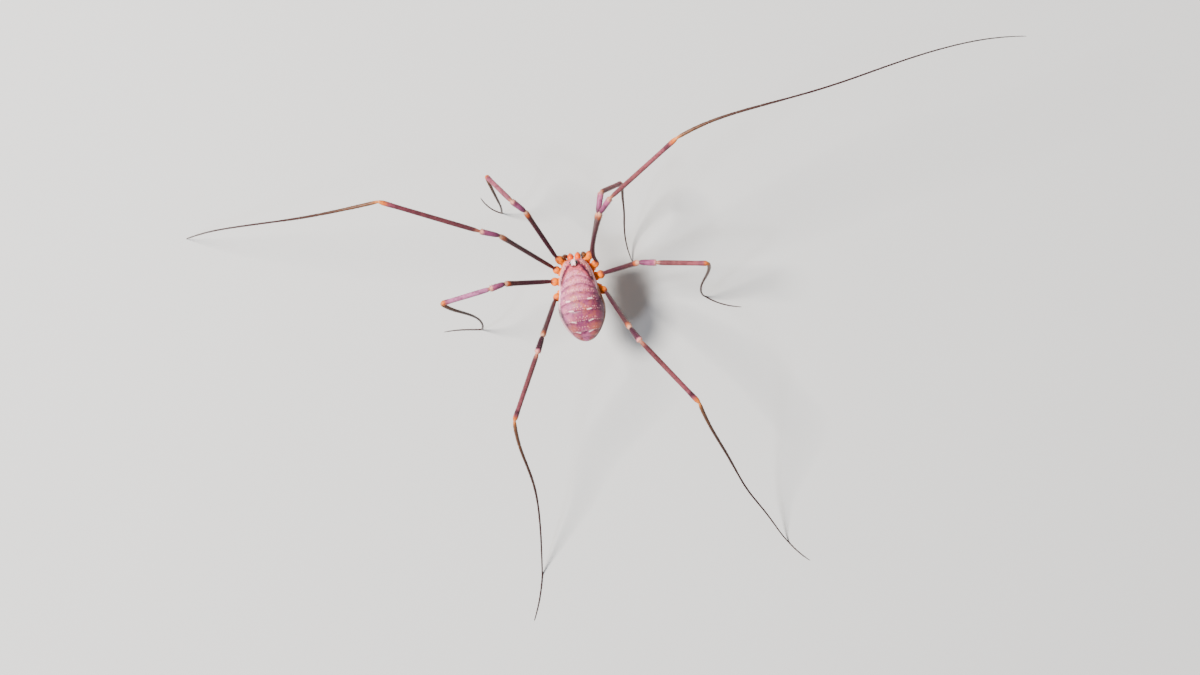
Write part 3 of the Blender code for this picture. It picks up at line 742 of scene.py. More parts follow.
def marking_masks(at):
    """Markings of the back that leave its shape alone."""
    aside = np.abs(at.x)
    spot, blot = np.zeros((2, len(at.x)))
    for place, asides, size in SPOTS:
        for row_aside in asides:
            away = np.hypot(aside - row_aside, at.y - place + SPOT_ROW_BEND * row_aside**2)
            spot = np.maximum(spot, np.exp(-((away / size) ** 4)))
    for place, row_aside, size in DARK_SPOTS:
        blot = np.maximum(blot, hump(np.hypot(aside - row_aside, at.y - place), 0.0, size))
    mark = hump(aside - mark_aside(at.y), 0.0, MARK_WIDTH) * at.plate
    _, ahead, up = ocularium_centre()
    cream = at.mound * rise(*CREAM_ASIDE, aside)
    cream = cream * rise(*(ahead + np.array(CREAM_AHEAD)), at.y)
    # The soft side turns rusty brown low down, and on the right it does so sooner: painted shade.
    brown_and_shade_from = RUSTY_FROM - RIGHT_SHADE_SOONER * (at.x > 0) * rise(*RIGHT_SHADE_SOONER_RUN, at.y)
    brown_and_shade = rise(brown_and_shade_from, brown_and_shade_from + RUSTY_BLUR, at.degrees - at.edge)
    # partly the plates' dark edge, partly painted shade in the crease at their edge
    edge_line_and_shade = hump(at.degrees, at.edge + EDGE_LINE_AND_SHADE[0], EDGE_LINE_AND_SHADE[1]) * rise(*EDGE_LINE_AND_SHADE_RUN, at.y)
    masks = {
        "spot": spot * at.plate,
        "blot": blot * at.plate,
        "mark": mark * rise(*MARK_START, at.y) * rise(*MARK_END, at.y),
        "cream": cream * rise(*(up + np.array(CREAM_UP)), at.z),
        "flank_low": brown_and_shade * rise(*RUSTY_END, at.degrees - FLANK_END),
        "edge_line_and_shade": edge_line_and_shade * (1 - at.coxa),
        "aside": np.clip(at.across, 0, 1.2),
    }
    for name, factors in TINTED_AREAS.items():
        masks[name] = np.ones(len(at.x))
        for kind, quantity, first, second in factors:
            value = getattr(at, quantity)
            shape = rise(first, second, value) if kind == "ramp" else hump(value, first, second)
            masks[name] = masks[name] * shape
    # painted shade: the saddle keeps its full darkness only on the right, the side away from the
    # light
    masks["saddle_and_shade"] *= np.where(at.x > 0, 1.0, SADDLE_AND_SHADE_LEFT)
    for name in ("hind", "flank", "belly", "coxa", "coxa_share", "mound", "plate"):
        masks[name] = getattr(at, name)
    return masks


def carve_skin(skin):
    """Raises and carves the relief of the skin, and returns its masks and tubercles."""
    points, normals = mesh_arrays(skin)
    at = skin_regions(points)
    push, stain, groove, belly_groove, dash, speck = np.zeros((6, len(points)))
    nearest = np.full(len(points), FAR)
    for place, fall, dark in BORDERS:
        distance = ahead_of(at.x, at.y, place, fall)
        nearest = np.minimum(nearest, np.abs(distance))
        groove = np.maximum(groove, hump(distance, 0.0, BORDER_HALF_WIDTH))
        stain = np.maximum(stain, dark * hump(distance, STAIN_PLACE, STAIN_HALF_WIDTH))
    ahead_of_arch = ahead_of(at.x, at.y, *ARCH)
    groove = groove * rise(*GROOVE_RUN, ahead_of_arch)
    groove = np.maximum(groove, hump(ahead_of_arch, 0.0, BORDER_HALF_WIDTH))
    swell = PLATE_SWELL * rise(0.0, PLATE_SWELL_RUN, nearest)
    push += at.plate * (swell - BORDER_DEPTH * groove)
    rim = hump(at.degrees, at.edge + RIM[0], RIM[1]) * at.hind * (1 - at.coxa)
    push -= RIM_DEPTH * rim
    wander = FOLD_WAVE[0] * np.sin(at.y * FOLD_WAVE[1])
    folds = np.sin(at.degrees / FOLD_SPACING * 2 * math.pi + wander)
    push += at.flank * (FLANK_SWELL + FOLD_DEPTH * folds)
    for place in BELLY_BORDERS:
        belly_groove = np.maximum(belly_groove, hump(at.y, place, BELLY_BORDER_HALF_WIDTH))
    push += at.belly * (BELLY_SWELL - BELLY_BORDER_DEPTH * belly_groove)
    mound_top = at.mound * rise(*FURROW_RUN, at.z - ocularium_centre()[2])
    push -= FURROW_DEPTH * mound_top * hump(at.x, 0.0, FURROW_HALF_WIDTH)
    for place, aside, slant in DASHES:
        outward = np.abs(at.x) - aside
        across = outward / DASH_SIZE[0]
        along = (at.y - place - slant * outward) / DASH_SIZE[1]
        dash = np.maximum(dash, np.exp(-(across**4 + along**2)))
    dash = dash * at.plate
    push += DASH_LIFT * dash
    bumps = tubercle_places()
    order = np.argsort(at.y)
    sorted_ahead = at.y[order]
    upper = (at.plate > ON_PLATE) & (at.z > HIP_HEIGHT)
    for x, y, size in bumps:
        low, high = np.searchsorted(sorted_ahead, (y - TUBERCLE_REACH, y + TUBERCLE_REACH))
        near = order[low:high]
        near = near[upper[near]]
        away = np.hypot(at.x[near] - x, at.y[near] - y)
        bump = TUBERCLE_HEIGHT * size * hump(away, 0.0, TUBERCLE_RADIUS * size)
        push[near] += bump * at.plate[near]
        speck[near] = np.maximum(speck[near], hump(away, 0.0, SPECK_RADIUS * size))
    masks = marking_masks(at)
    masks.update({
        "stain": stain * rise(*STAIN_RUN, ahead_of_arch) * at.plate,
        "groove": np.maximum(groove * at.plate, rim),
        "dash": dash,
        "speck": speck * at.plate,
        "sternite": belly_groove * at.belly,
    })
    skin.vertices.foreach_set("co", (points + normals * push[:, None]).ravel())
    skin.update()
    return masks, bumps


# Materials

def over(colour, source, reach=None, by=None, share=None, then=None):
    """One row of a stack of colours: where it comes in by a mask or a pattern, the span of it that
    counts, the pattern that breaks it up with its span or a plain share, and a span of the result."""
    return colour, source, reach, by, share, then


class Recipe:
    """A material's node tree, with noise patterns by name and colours laid over each other."""

    def __init__(self, name, roughness, patterns, bump_height=0.0, specular=0.5):
        self.material = bpy.data.materials.new(name)
        self.material.use_nodes = True
        self.tree = self.material.node_tree
        self.shader = self.tree.nodes["Principled BSDF"]
        self.shader.inputs["Roughness"].default_value = roughness
        self.shader.inputs["Specular IOR Level"].default_value = specular
        self.bump_height = bump_height
        self.place = self.node("TexCoord", "Object", {})
        self.patterns = {}
        for key, (noise, reach) in patterns.items():
            self.patterns[key] = self.noise(*noise)
            if reach is not None:
                self.patterns[key] = self.span(self.patterns[key], *reach)

    def feed(self, socket, value):
        if isinstance(value, bpy.types.NodeSocket):
            self.tree.links.new(value, socket)
        elif isinstance(value, tuple):
            socket.default_value = (*value, 1.0)
        else:
            socket.default_value = value

    def node(self, kind, output, inputs, **settings):
        """Output of a new node with these settings and inputs."""
        node = self.tree.nodes.new(f"ShaderNode{kind}")
        for name, value in settings.items():
            setattr(node, name, value)
        for name, value in inputs.items():
            self.feed(node.inputs[name], value)
        return node.outputs[output]

    def noise(self, size, detail, distortion=0.0):
        """Noise from 0 to 1 whose features are about size millimetres wide."""
        scale = 1.0 / (size * MM)
        inputs = {"Scale": scale, "Detail": detail, "Distortion": distortion, "Vector": self.place}
        return self.node("TexNoise", "Fac", inputs)

    def cells(self, size):
        inputs = {"Scale": 1.0 / (size * MM), "Vector": self.place}
        return self.node("TexVoronoi", "Distance", inputs)

    def span(self, value, low, high, to_low=0.0, to_high=1.0):
        inputs = {"Value": value, "From Min": low, "From Max": high}
        inputs.update({"To Min": to_low, "To Max": to_high})
        return self.node("MapRange", "Result", inputs, interpolation_type="SMOOTHSTEP")

    def maths(self, operation, first, second):
        return self.node("Math", "Value", {0: first, 1: second}, operation=operation, use_clamp=True)

    def colour(self, stack):
        """Colour of a stack, which is a list of a base and rows. Its colours may be stacks too."""
        if not isinstance(stack, list):
            return stack
        below = self.colour(stack[0])
        for above, source, reach, by, share, then in stack[1:]:
            if source in self.patterns:
                factor = self.patterns[source]
            else:
                factor = self.node("Attribute", "Fac", {}, attribute_name=source)
            if reach is not None:
                factor = self.span(factor, *reach)
            if by is not None:
                share = self.span(self.patterns[by], *share)
            if share is not None:
                factor = self.maths("MULTIPLY", factor, share)
            if then is not None:
                factor = self.span(factor, *then)
            inputs = {"Factor": factor, "A": below, "B": self.colour(above)}
            below = self.node("Mix", "Result", inputs, data_type="RGBA")
        return below

    def ramp(self, factor, stops):
        node = self.tree.nodes.new("ShaderNodeValToRGB")
        elements = node.color_ramp.elements
        while len(elements) < len(stops):
            elements.new(1.0)
        for element, (position, colour) in zip(elements, stops):
            element.position = position
            element.color = (*colour, 1.0)
        self.feed(node.inputs["Fac"], factor)
        return node.outputs["Color"]

    def finish(self, stack, relief=None, roughness=None):
        self.feed(self.shader.inputs["Base Color"], self.colour(stack))
        if roughness is not None:
            self.feed(self.shader.inputs["Roughness"], roughness)
        if relief is not None:
            inputs = {"Strength": 1.0, "Distance": self.bump_height * MM, "Height": relief}
            self.feed(self.shader.inputs["Normal"], self.node("Bump", "Normal", inputs))
        return self.material


ROSE = (0.35, 0.066, 0.104)
RUST = (0.52, 0.120, 0.050)
REAR_RUST = (0.62, 0.130, 0.065)
PURPLE = (0.11, 0.022, 0.060)
MAUVE = (0.31, 0.066, 0.17)
DEEP_MAUVE = (0.23, 0.044, 0.115)
PALE_ROSE = (0.84, 0.23, 0.35)
TAIL_PINK = (0.84, 0.20, 0.42)
# painted light and sheen: the lavender of the side that faces the light
PAINTED_LIGHT_LAVENDER = (0.78, 0.25, 0.45)
CREAM = (1.0, 0.69, 0.68)
DASH_WHITE = (1.0, 0.66, 0.66)
SPOT_PINK = (0.90, 0.36, 0.33)
SOFT_SIDE = (1.0, 0.57, 0.65)
SOFT_SIDE_RUST = (0.24, 0.080, 0.022)
BELLY_PALE = (0.80, 0.57, 0.38)
BELLY_BROWN = (0.50, 0.25, 0.13)
ORANGE = (1.0, 0.22, 0.0)
PALE_ORANGE = (1.0, 0.33, 0.03)
CARAPACE_RED = (0.74, 0.12, 0.16)
CARAPACE_RIM = (1.0, 0.40, 0.44)
CARAPACE_DARK = (0.048, 0.006, 0.024)
BUMP_PINK = (0.95, 0.46, 0.42)
MOUND_DARK = (0.24, 0.045, 0.05)

# Noise patterns of the trunk: size, detail and distortion, and the span that counts
SKIN_PATTERNS = {
    "blotches": ((0.8, 3, 0.5), (0.36, 0.62)),
    "flecks": ((0.22, 4, 0.6), (0.44, 0.58)),
    "patches": ((0.30, 3, 0.8), (0.40, 0.62)),
    "grain": ((0.06, 3), None),
}
BACK = [
    ROSE,
    over(RUST, "flecks", share=0.65),
    over(MAUVE, "blotches", share=0.7),
    over(RUST, "median", by="flecks", share=(0.2, 0.9, 0.0, 0.5)),
    # paler front, partly painted light
    over(PALE_ROSE, "front", by="flecks", share=(0.0, 1.0, 0.75, 0.25)),
    over(MAUVE, "aside", reach=(0.45, 0.95, 0.0, 0.45)),
    over(DEEP_MAUVE, "hind_median", by="flecks", share=(0.0, 1.0, 0.9, 0.55)),
    over(TAIL_PINK, "tail", share=0.7),
    # painted light and sheen on the left side, which faces the light
    over(PAINTED_LIGHT_LAVENDER, "left_painted_light", share=0.5),
    over(REAR_RUST, "rear", by="patches", share=(0.0, 1.0, 0.5, 0.95)),
    # dark saddle, with painted shade on the right side
    over(PURPLE, "saddle_and_shade", by="patches", share=(0.0, 1.0, 0.6, 1.0)),
    over(PURPLE, "stain", by="patches", share=(0.0, 1.0, 0.35, 1.0)),
    over(PURPLE, "blot", by="flecks", share=(0.0, 1.0, 0.7, 0.35)),
    over(SPOT_PINK, "spot", by="blotches", share=(0.0, 1.0, 0.75, 0.35)),
]
CARAPACE = [
    CARAPACE_RED,
    over(MOUND_DARK, "patches", share=0.6),
    over(CARAPACE_RIM, "aside", reach=(0.72, 0.92, 0.0, 0.75),
         by="patches", share=(0.0, 1.0, 1.0, 0.45)),
]
FLANK = [
    SOFT_SIDE,
    # rusty brown low on the soft side, sooner on the right as painted shade
    over(SOFT_SIDE_RUST, "flank_low"),
    over(SOFT_SIDE_RUST, "grain", reach=(0.42, 0.62, 0.0, 0.4)),
]
BELLY = [
    BELLY_PALE,
    over(BELLY_BROWN, "patches", reach=(0.0, 1.0, 0.0, 0.22)),
    over(BELLY_BROWN, "sternite", share=0.8),
]
COXA = [
    BELLY_PALE,
    over(ORANGE, "coxa_share", reach=(0.15, 0.8)),
    over(PALE_ORANGE, "flecks", share=0.3),
]
SKIN = [
    CARAPACE,
    over(BACK, "hind"),
    over(CARAPACE_DARK, "mark", by="patches", share=(0.0, 1.0, 0.88, 1.0)),
    over(BUMP_PINK, "speck", reach=(0.25, 0.85, 0.0, 0.55)),
    over(PURPLE, "groove", reach=(0.3, 1.0, 0.0, 0.5), by="patches", share=(0.0, 1.0, 0.35, 1.0)),
    over(FLANK, "flank"),
    # dark edge of the plates, with painted shade along it
    over(PURPLE, "edge_line_and_shade", share=0.85),
    over(BELLY, "belly"),
    over(COXA, "coxa"),
    over(MOUND_DARK, "mound", reach=(0.2, 0.8)),
    over(CREAM, "cream", by="grain", share=(0.35, 0.6, 0.75, 1.0), then=(0.15, 0.85)),
    over(DASH_WHITE, "dash", reach=(0.2, 0.75)),
]
PIT_SIZE = 0.06


def skin_material():
    recipe = Recipe("skin", 0.38, SKIN_PATTERNS, bump_height=0.012, specular=0.26)
    grain = recipe.patterns["grain"]
    pits = recipe.span(recipe.cells(PIT_SIZE), 0, 0.5, 0, 0.4)
    relief = recipe.maths("ADD", recipe.maths("MULTIPLY", grain, 0.6), pits)
    return recipe.finish(SKIN, relief, recipe.span(grain, 0.3, 0.7, 0.30, 0.46))


# Colour along a leg by limb value: 0 to 1 on the trochanter, 1 to 2 on the femur and so on
LEG_COLOURS = (
    (0.00, (1.0, 0.25, 0.0)),
    (0.45, (1.0, 0.23, 0.0)),
    (0.80, (0.95, 0.17, 0.0)),
    (0.97, (0.28, 0.055, 0.015)),
    (1.03, (0.066, 0.018, 0.028)),
    (1.50, (0.054, 0.017, 0.026)),
    (1.88, (0.070, 0.021, 0.023)),
    (1.94, (0.50, 0.095, 0.018)),
    (1.99, (0.78, 0.30, 0.16)),
    (2.06, (0.13, 0.030, 0.065)),
    (2.50, (0.32, 0.075, 0.18)),
    (2.84, (0.46, 0.105, 0.22)),
    (2.94, (0.78, 0.30, 0.26)),
    (3.01, (0.54, 0.18, 0.10)),
    (3.08, (0.17, 0.046, 0.055)),
    (3.40, (0.25, 0.067, 0.074)),
    (3.76, (0.30, 0.070, 0.090)),
    (3.90, (0.32, 0.075, 0.115)),
    (3.95, (0.66, 0.13, 0.012)),
    (4.00, (0.74, 0.23, 0.05)),
    (4.06, (0.17, 0.070, 0.030)),
    (4.45, (0.075, 0.034, 0.022)),
    (4.95, (0.045, 0.020, 0.018)),
    (5.30, (0.036, 0.014, 0.016)),
    (6.00, (0.032, 0.012, 0.013)),
)
LEG_MAUVE = (0.60, 0.20, 0.42)
LEG_DARK = (0.035, 0.012, 0.018)
JOINT_PALE = (0.60, 0.36, 0.24)
LEG_PATTERNS = {"streaks": ((0.35, 4, 0.6), (0.42, 0.66, 0.0, 0.45)), "grain": ((0.05, 3), None)}
BRISTLE_PATTERNS = {"tinted": ((0.5, 2), (0.35, 0.65, 0.0, 0.4))}
MOUTH_PATTERNS = {"patches": ((0.3, 4, 0.4), (0.40, 0.65, 0.0, 0.55)), "grain": ((0.06, 3), None)}
# Root and tip colours of spines, hairs and denticles, and their roughness
BRISTLES = {
    "spine": ((0.16, 0.05, 0.04), (0.62, 0.40, 0.30), 0.4),
    "hair": ((0.06, 0.025, 0.02), (0.22, 0.12, 0.08), 0.5),
    "denticle": ((0.72, 0.28, 0.24), (0.95, 0.66, 0.55), 0.4),
}
JAW_COLOURS = ((0.93, 0.095, 0.002), (0.04, 0.015, 0.01))
# painted shade: the palps are dark brown, as they lie in shadow under the front
PALP_SHADE_COLOURS = ((0.085, 0.026, 0.012), (0.05, 0.018, 0.014))
MOUTH_PALE = 0.4  # share of pale orange in a mouthpart's paler patches
EYE_COLOURS = ((0.004, 0.003, 0.004), (0.035, 0.014, 0.008))
CLAW_COLOURS = ((0.05, 0.018, 0.012), (0.12, 0.04, 0.02))


def leg_material():
    recipe = Recipe("leg_skin", 0.38, LEG_PATTERNS, bump_height=0.006, specular=0.15)
    stops = [(limb / len(SEGMENTS), colour) for limb, colour in LEG_COLOURS]
    limb = recipe.node("Attribute", "Fac", {}, attribute_name="limb")
    along = recipe.ramp(recipe.maths("MULTIPLY", limb, 1.0 / len(SEGMENTS)), stops)
    stack = [
        along,
        over(LEG_MAUVE, "mauve"),
        over(LEG_DARK, "dark"),
        over(LEG_DARK, "streaks"),
        over(JOINT_PALE, "joint", reach=(0.3, 1.0, 0.0, 0.5)),
    ]
    grain = recipe.patterns["grain"]
    return recipe.finish(stack, grain, recipe.span(grain, 0.3, 0.7, 0.30, 0.48))


def bristle_material(name):
    root, tip, roughness = BRISTLES[name]
    recipe = Recipe(name, roughness, BRISTLE_PATTERNS)
    return recipe.finish([root, over(tip, "tinted"), over(tip, "tip", reach=(0.35, 1.0))])


def mouthpart_material(name, base, tip):
    recipe = Recipe(name, 0.35, MOUTH_PATTERNS, bump_height=0.006, specular=0.25)
    paler = tuple((1 - MOUTH_PALE) * a + MOUTH_PALE * b for a, b in zip(base, PALE_ORANGE))
    stack = [
        base,
        over(paler, "patches", share=0.6),
        over(tip, "tip", reach=(0.78, 0.98)),
        over(JOINT_PALE, "joint", reach=(0.3, 1.0, 0.0, 0.55)),
    ]
    return recipe.finish(stack, recipe.patterns["grain"])


def eye_material():
    recipe = Recipe("eye", 0.06, {"glow": ((0.08, 2), (0.4, 0.7, 0.0, 0.6))}, specular=0.8)
    recipe.shader.inputs["Coat Weight"].default_value = 1.0
    recipe.shader.inputs["Coat Roughness"].default_value = 0.03
    return recipe.finish([EYE_COLOURS[0], over(EYE_COLOURS[1], "glow")])


def claw_material():
    recipe = Recipe("claw", 0.2, {"grain": ((0.05, 2), None)})
    return recipe.finish([CLAW_COLOURS[0], over(CLAW_COLOURS[1], "grain")])


# Legs

def heading_vector(azimuth, elevation, side):
    turn = np.radians(azimuth)
    climb = np.radians(elevation)
    flat = np.cos(climb)
    return np.stack([side * np.sin(turn) * flat, np.cos(turn) * flat, np.sin(climb)], axis=-1)


def lower_path(leg, number, side, start):
    """Centre line of the metatarsus and tarsus, eased to end on the floor if it stands."""
    metatarsus, tarsus = LENGTHS[number][3:]
    total = metatarsus + tarsus
    stations = (0.0, metatarsus / 2, metatarsus, metatarsus + tarsus / 3,
                metatarsus + tarsus * 2 / 3, total)
    _, headings, lies = POSE[leg]
    azimuths, elevations = zip(*headings)
    steps = np.repeat((metatarsus / LOWER_STEPS[0], tarsus / LOWER_STEPS[1]), LOWER_STEPS)
    middle = np.concatenate([[0.0], np.cumsum(steps)])[:-1] + steps / 2
    standing = middle < total - (lies or 0.0) * tarsus
    climb = np.where(standing, smooth_curve(stations, elevations, middle), 0.0)
    ways = heading_vector(smooth_curve(stations, azimuths, middle), climb, side)
    path = start + np.concatenate([np.zeros((1, 3)), np.cumsum(ways * steps[:, None], axis=0)])
    if lies is not None:
        ease = (start[2] - TARSUS_REST) / (start[2] - path[-1, 2])
        path[:, 2] = np.maximum(TARSUS_REST, start[2] - (start[2] - path[:, 2]) * ease)
    limb = np.concatenate([
        np.linspace(4.0, 5.0, LOWER_STEPS[0] + 1), np.linspace(5.0, 6.0, LOWER_STEPS[1] + 1)[1:]
    ])
    return path, limb


def leg_line(leg, number, side):
    """Even points on the leg's centre line with rounded joints, and their limb values."""
    _, outer, outward = coxa_ends(number, side)
    joints = [outer - outward * TROCHANTER_SINK, body_point((*HIP[number], 0.0), side)]
    for length, heading in zip(LENGTHS[number], POSE[leg][0]):
        joints.append(joints[-1] + heading_vector(*heading, side) * length)
    lower, lower_limb = lower_path(leg, number, side, joints[-1])
    share = np.linspace(0.0, 1.0, FEMUR_STEPS + 1)[:, None]
    bow = np.array(FEMUR_BOW.get(leg, (0.0, 0.0, 0.0)))
    femur = joints[1] + (joints[2] - joints[1]) * share + bow * np.sin(math.pi * share**BOW_POWER)
    points = np.concatenate([joints[:1], femur, joints[3:], lower[1:]])
    limb = np.concatenate([[0.0], 1 + share[:, 0], [3.0, 4.0], lower_limb[1:]])
    reach = reach_along(points)
    even = np.linspace(0.0, reach[-1], int(reach[-1] / LEG_STEP))
    line = np.stack([np.interp(even, reach, points[:, k]) for k in range(3)], axis=1)
    window = int(3 * CORNER_SOFTNESS / LEG_STEP)
    weights = np.exp(-((np.arange(-window, window + 1) * LEG_STEP / CORNER_SOFTNESS) ** 2) / 2)
    weights /= weights.sum()
    before = line[0] + (line[0] - line[1]) * np.arange(window, 0, -1)[:, None]
    after = line[-1] + (line[-1] - line[-2]) * np.arange(1, window + 1)[:, None]
    padded = np.concatenate([before, line, after])
    line = np.stack([np.convolve(padded[:, k], weights, "valid") for k in range(3)], axis=1)
    return line, np.interp(even, reach, limb)


def tarsomere_phase(share, length):
    """Share of the way along its own tarsomere, for places along a tarsus."""
    base, tip = TARSOMERE_LENGTHS
    count = length / ((base + tip) / 2)
    turns = count * (share + (tip - base) / (base + tip) * share * (share - 1))
    return np.mod(turns, 1.0)


def leg_radii(line, limb, number):
    """Radius at each ring and the mask of its joints and false joints."""
    radii, joint = np.zeros((2, len(line)))
    for k, segment in enumerate(SEGMENTS):
        inside = (limb >= k) & (limb <= k + 1)
        radii[inside] = smooth_curve(*zip(*PROFILES[segment]), limb[inside] - k)
    radii *= LEG_THICKNESS[number]
    for k, (length, shows) in enumerate(zip(LENGTHS[number], JOINT_SHOWS)):
        joint = np.maximum(joint, shows * hump((limb - k - 1) * length, 0.0, JOINT_HALF_WIDTH))
    for place in FALSE_JOINTS:
        away = (limb - 4 - place) * LENGTHS[number][3]
        dip = hump(away, 0.0, FALSE_JOINT_HALF_WIDTH) * ((limb > 4) & (limb < 5))
        radii *= 1 - FALSE_JOINT_DEPTH * dip
        joint = np.maximum(joint, FALSE_JOINT_SHOWS * dip)
    tarsus = limb > 5
    phase = tarsomere_phase(np.clip(limb - 5, 0, 1), LENGTHS[number][4])
    radii *= np.where(tarsus, 1 + TARSOMERE_SWELL * (phase - 0.5), 1.0)
    rings = hump(phase, 0.0, TARSOMERE_JOINT) + hump(phase, 1.0, TARSOMERE_JOINT)
    return radii, np.maximum(joint, tarsus * TARSOMERE_SHOWS * rings)


def within(run, limb):
    """1 along a run of limb values, smooth at its start and its end."""
    return rise(*run[0], limb) * rise(*run[1], limb)


def make_leg(leg, number, side, material):
    """Adds the skin of one leg and returns its line, limb values and radii."""
    line, limb = leg_line(leg, number, side)
    radii, joint = leg_radii(line, limb, number)
    line_ended, radii_ended = rounded_ends(line, radii, rings=LEG_END_RINGS)
    extra = (len(line_ended) - len(line)) // 2
    limb_ended = np.concatenate([np.zeros(extra), limb, np.full(extra, 6.0)])
    joint_ended = np.concatenate([np.zeros(extra), joint, np.zeros(extra)])
    angles = np.linspace(0.0, 2 * math.pi, LEG_SIDES, endpoint=False)
    angular = within(FACET_RUN, limb_ended)[:, None]
    facets = 1 + FACET_DEPTH * angular * np.cos(FACETS * angles)[None, :]
    points, faces = tube(line_ended, radii_ended[:, None] * facets, LEG_SIDES)
    points[:, 2] = np.maximum(points[:, 2], 0.0)
    # darkness and mauve that differ between legs: partly own colour, partly painted light and shade
    dark_patella, dark_tibia, band, mauve_tibia = LEG_TINTS_AND_SHADE[leg]
    on_tibia = within(TIBIA_RUN, limb_ended)
    dark = dark_patella * within(PATELLA_RUN, limb_ended) + dark_tibia * on_tibia
    dark = np.maximum(dark, band * hump(limb_ended, *BAND))
    rings = {"dark": dark, "mauve": mauve_tibia * on_tibia, "limb": limb_ended, "joint": joint_ended}
    masks = {name: np.repeat(values, LEG_SIDES) for name, values in rings.items()}
    name = f"leg_{leg}"
    nodes = [f"{segment}_{leg}" for segment in SEGMENTS]
    add_piece(name, mesh_from(name, points, faces, masks), material, nodes)
    return line, limb, radii


def make_claw(leg, line, material):
    """Small hooked claw at the tip of a tarsus."""
    way = unit(line[-1] - line[-3])
    down = np.cross(way, unit(np.cross(way, np.array((0.0, 0.0, 1.0)))))
    turns = np.linspace(0.0, CLAW_TURN, CLAW_RINGS)
    radius = CLAW_LENGTH * CLAW_CURL
    hook = np.sin(turns)[:, None] * way + (1 - np.cos(turns))[:, None] * down
    points = line[-1] + radius * hook - way * CLAW_SINK
    points[:, 2] = np.maximum(points[:, 2], CLAW_LOWEST)
    shape = tube(points, np.linspace(*CLAW_RADII, CLAW_RINGS), CLAW_SIDES)
    name = f"claw_{leg}"
    add_piece(name, mesh_from(name, *shape, {}), material)


# Spines and hairs

def add_bristles(name, slot, material, roots, ways, lengths, radii, sides, patches):
    """One piece of tapered spikes. Patches are their places on the bake's map, from 0 to 1."""
    count = len(roots)
    ways = unit(ways)
    upright = np.abs(ways[:, 2:3]) > UPRIGHT
    axis = np.where(upright, np.array([[1.0, 0, 0]]), np.array([[0, 0, 1.0]]))
    first = unit(np.cross(ways, axis))
    second = np.cross(ways, first)
    angles = np.linspace(0.0, 2 * math.pi, sides, endpoint=False)
    circle = np.stack([np.cos(angles), np.sin(angles)], axis=1)
    ring = circle[None, :, :1] * first[:, None, :] + circle[None, :, 1:] * second[:, None, :]
    lengths = lengths[:, None]
    radii = radii[:, None]
    low = (roots - ways * radii)[:, None, :] + ring * radii[:, :, None]
    half_way = (roots + ways * lengths * BRISTLE_MIDDLE[0])[:, None, :]
    half_way = half_way + ring * radii[:, :, None] * BRISTLE_MIDDLE[1]
    tips = (roots + ways * lengths)[:, None, :]
    points = np.concatenate([low, half_way, tips], axis=1)
    pattern = [tuple(reversed(range(sides)))]
    for k in range(sides):
        after = (k + 1) % sides
        pattern += [(k, after, sides + after, sides + k), (sides + k, sides + after, 2 * sides)]
    pattern = pattern[1:] + pattern[:1]
    stride = 2 * sides + 1
    faces = [tuple(i * stride + k for k in face) for i in range(count) for face in pattern]
    tip = np.tile(np.concatenate([np.zeros(sides), np.full(sides, 0.5), [1.0]]), count)
    mesh = mesh_from(name, points.reshape(-1, 3), faces, {"tip": tip})
    spread = PATCH_SIZE * np.concatenate([circle, 0.5 * circle, np.zeros((1, 2))])
    places = (patches[:, None, :] + spread[None, :, :]).reshape(-1, 2)
    corners = np.zeros(len(mesh.loops), np.int32)
    mesh.loops.foreach_get("vertex_index", corners)
    layer = mesh.uv_layers.new(name="OFBake")
    layer.uv.foreach_set("vector", places[corners].astype(np.float32).ravel())
    add_piece(name, mesh, material)


def grow(name, slot, material, stem, where, degrees, lean, lengths, radii, sides, map_length=1.0):
    """Bristles on a limb, given its line, values along it and radii, at such values and angles."""
    line, limb, limb_radii = stem
    ways, uppers, asides = transported_frames(line)

    def at(values):
        return np.stack([np.interp(where, limb, values[:, k]) for k in range(3)], axis=1)

    angle = np.radians(degrees)[:, None]
    outward = unit(at(uppers) * np.cos(angle) + at(asides) * np.sin(angle))
    roots = at(line) + outward * np.interp(where, limb, limb_radii)[:, None]
    ways = outward * np.sin(lean) + unit(at(ways)) * np.cos(lean)
    shares = np.stack([where * map_length / len(SEGMENTS), np.mod(degrees, 360) / 360], axis=1)
    patches = MAP_MARGIN + (1 - 2 * MAP_MARGIN) * shares
    clear = roots[:, 2] + ways[:, 2] * lengths > HAIR_CLEARANCE
    radii = np.broadcast_to(radii, lengths.shape)
    kept = (part[clear] for part in (roots, ways, lengths, radii))
    add_bristles(name, slot, material, *kept, sides, patches[clear])


def make_spines(leg, number, stem, material):
    draw = np.random.default_rng(SEED + number)
    where, degrees, heights = [], [], []
    for first, last, spacing, low, high in SPINE_RUNS:
        length = (TROCHANTER_LENGTH, *LENGTHS[number])[int(first)]
        count = int((last - first) * length / spacing)
        for row in SPINE_ROWS:
            jitter = draw.normal(0, 0.15 * spacing / length, count)
            where.append(np.linspace(first, last, count) + jitter)
            degrees.append(row + draw.normal(0, 5, count))
            heights.append(np.linspace(low, high, count) * draw.uniform(0.75, 1.2, count))
    where, degrees, heights = (np.concatenate(part) for part in (where, degrees, heights))
    grow(f"spines_{leg}", "patella", material, stem, where, degrees, math.radians(SPINE_LEAN),
         heights, heights * SPINE_THICKNESS, SPINE_SIDES)


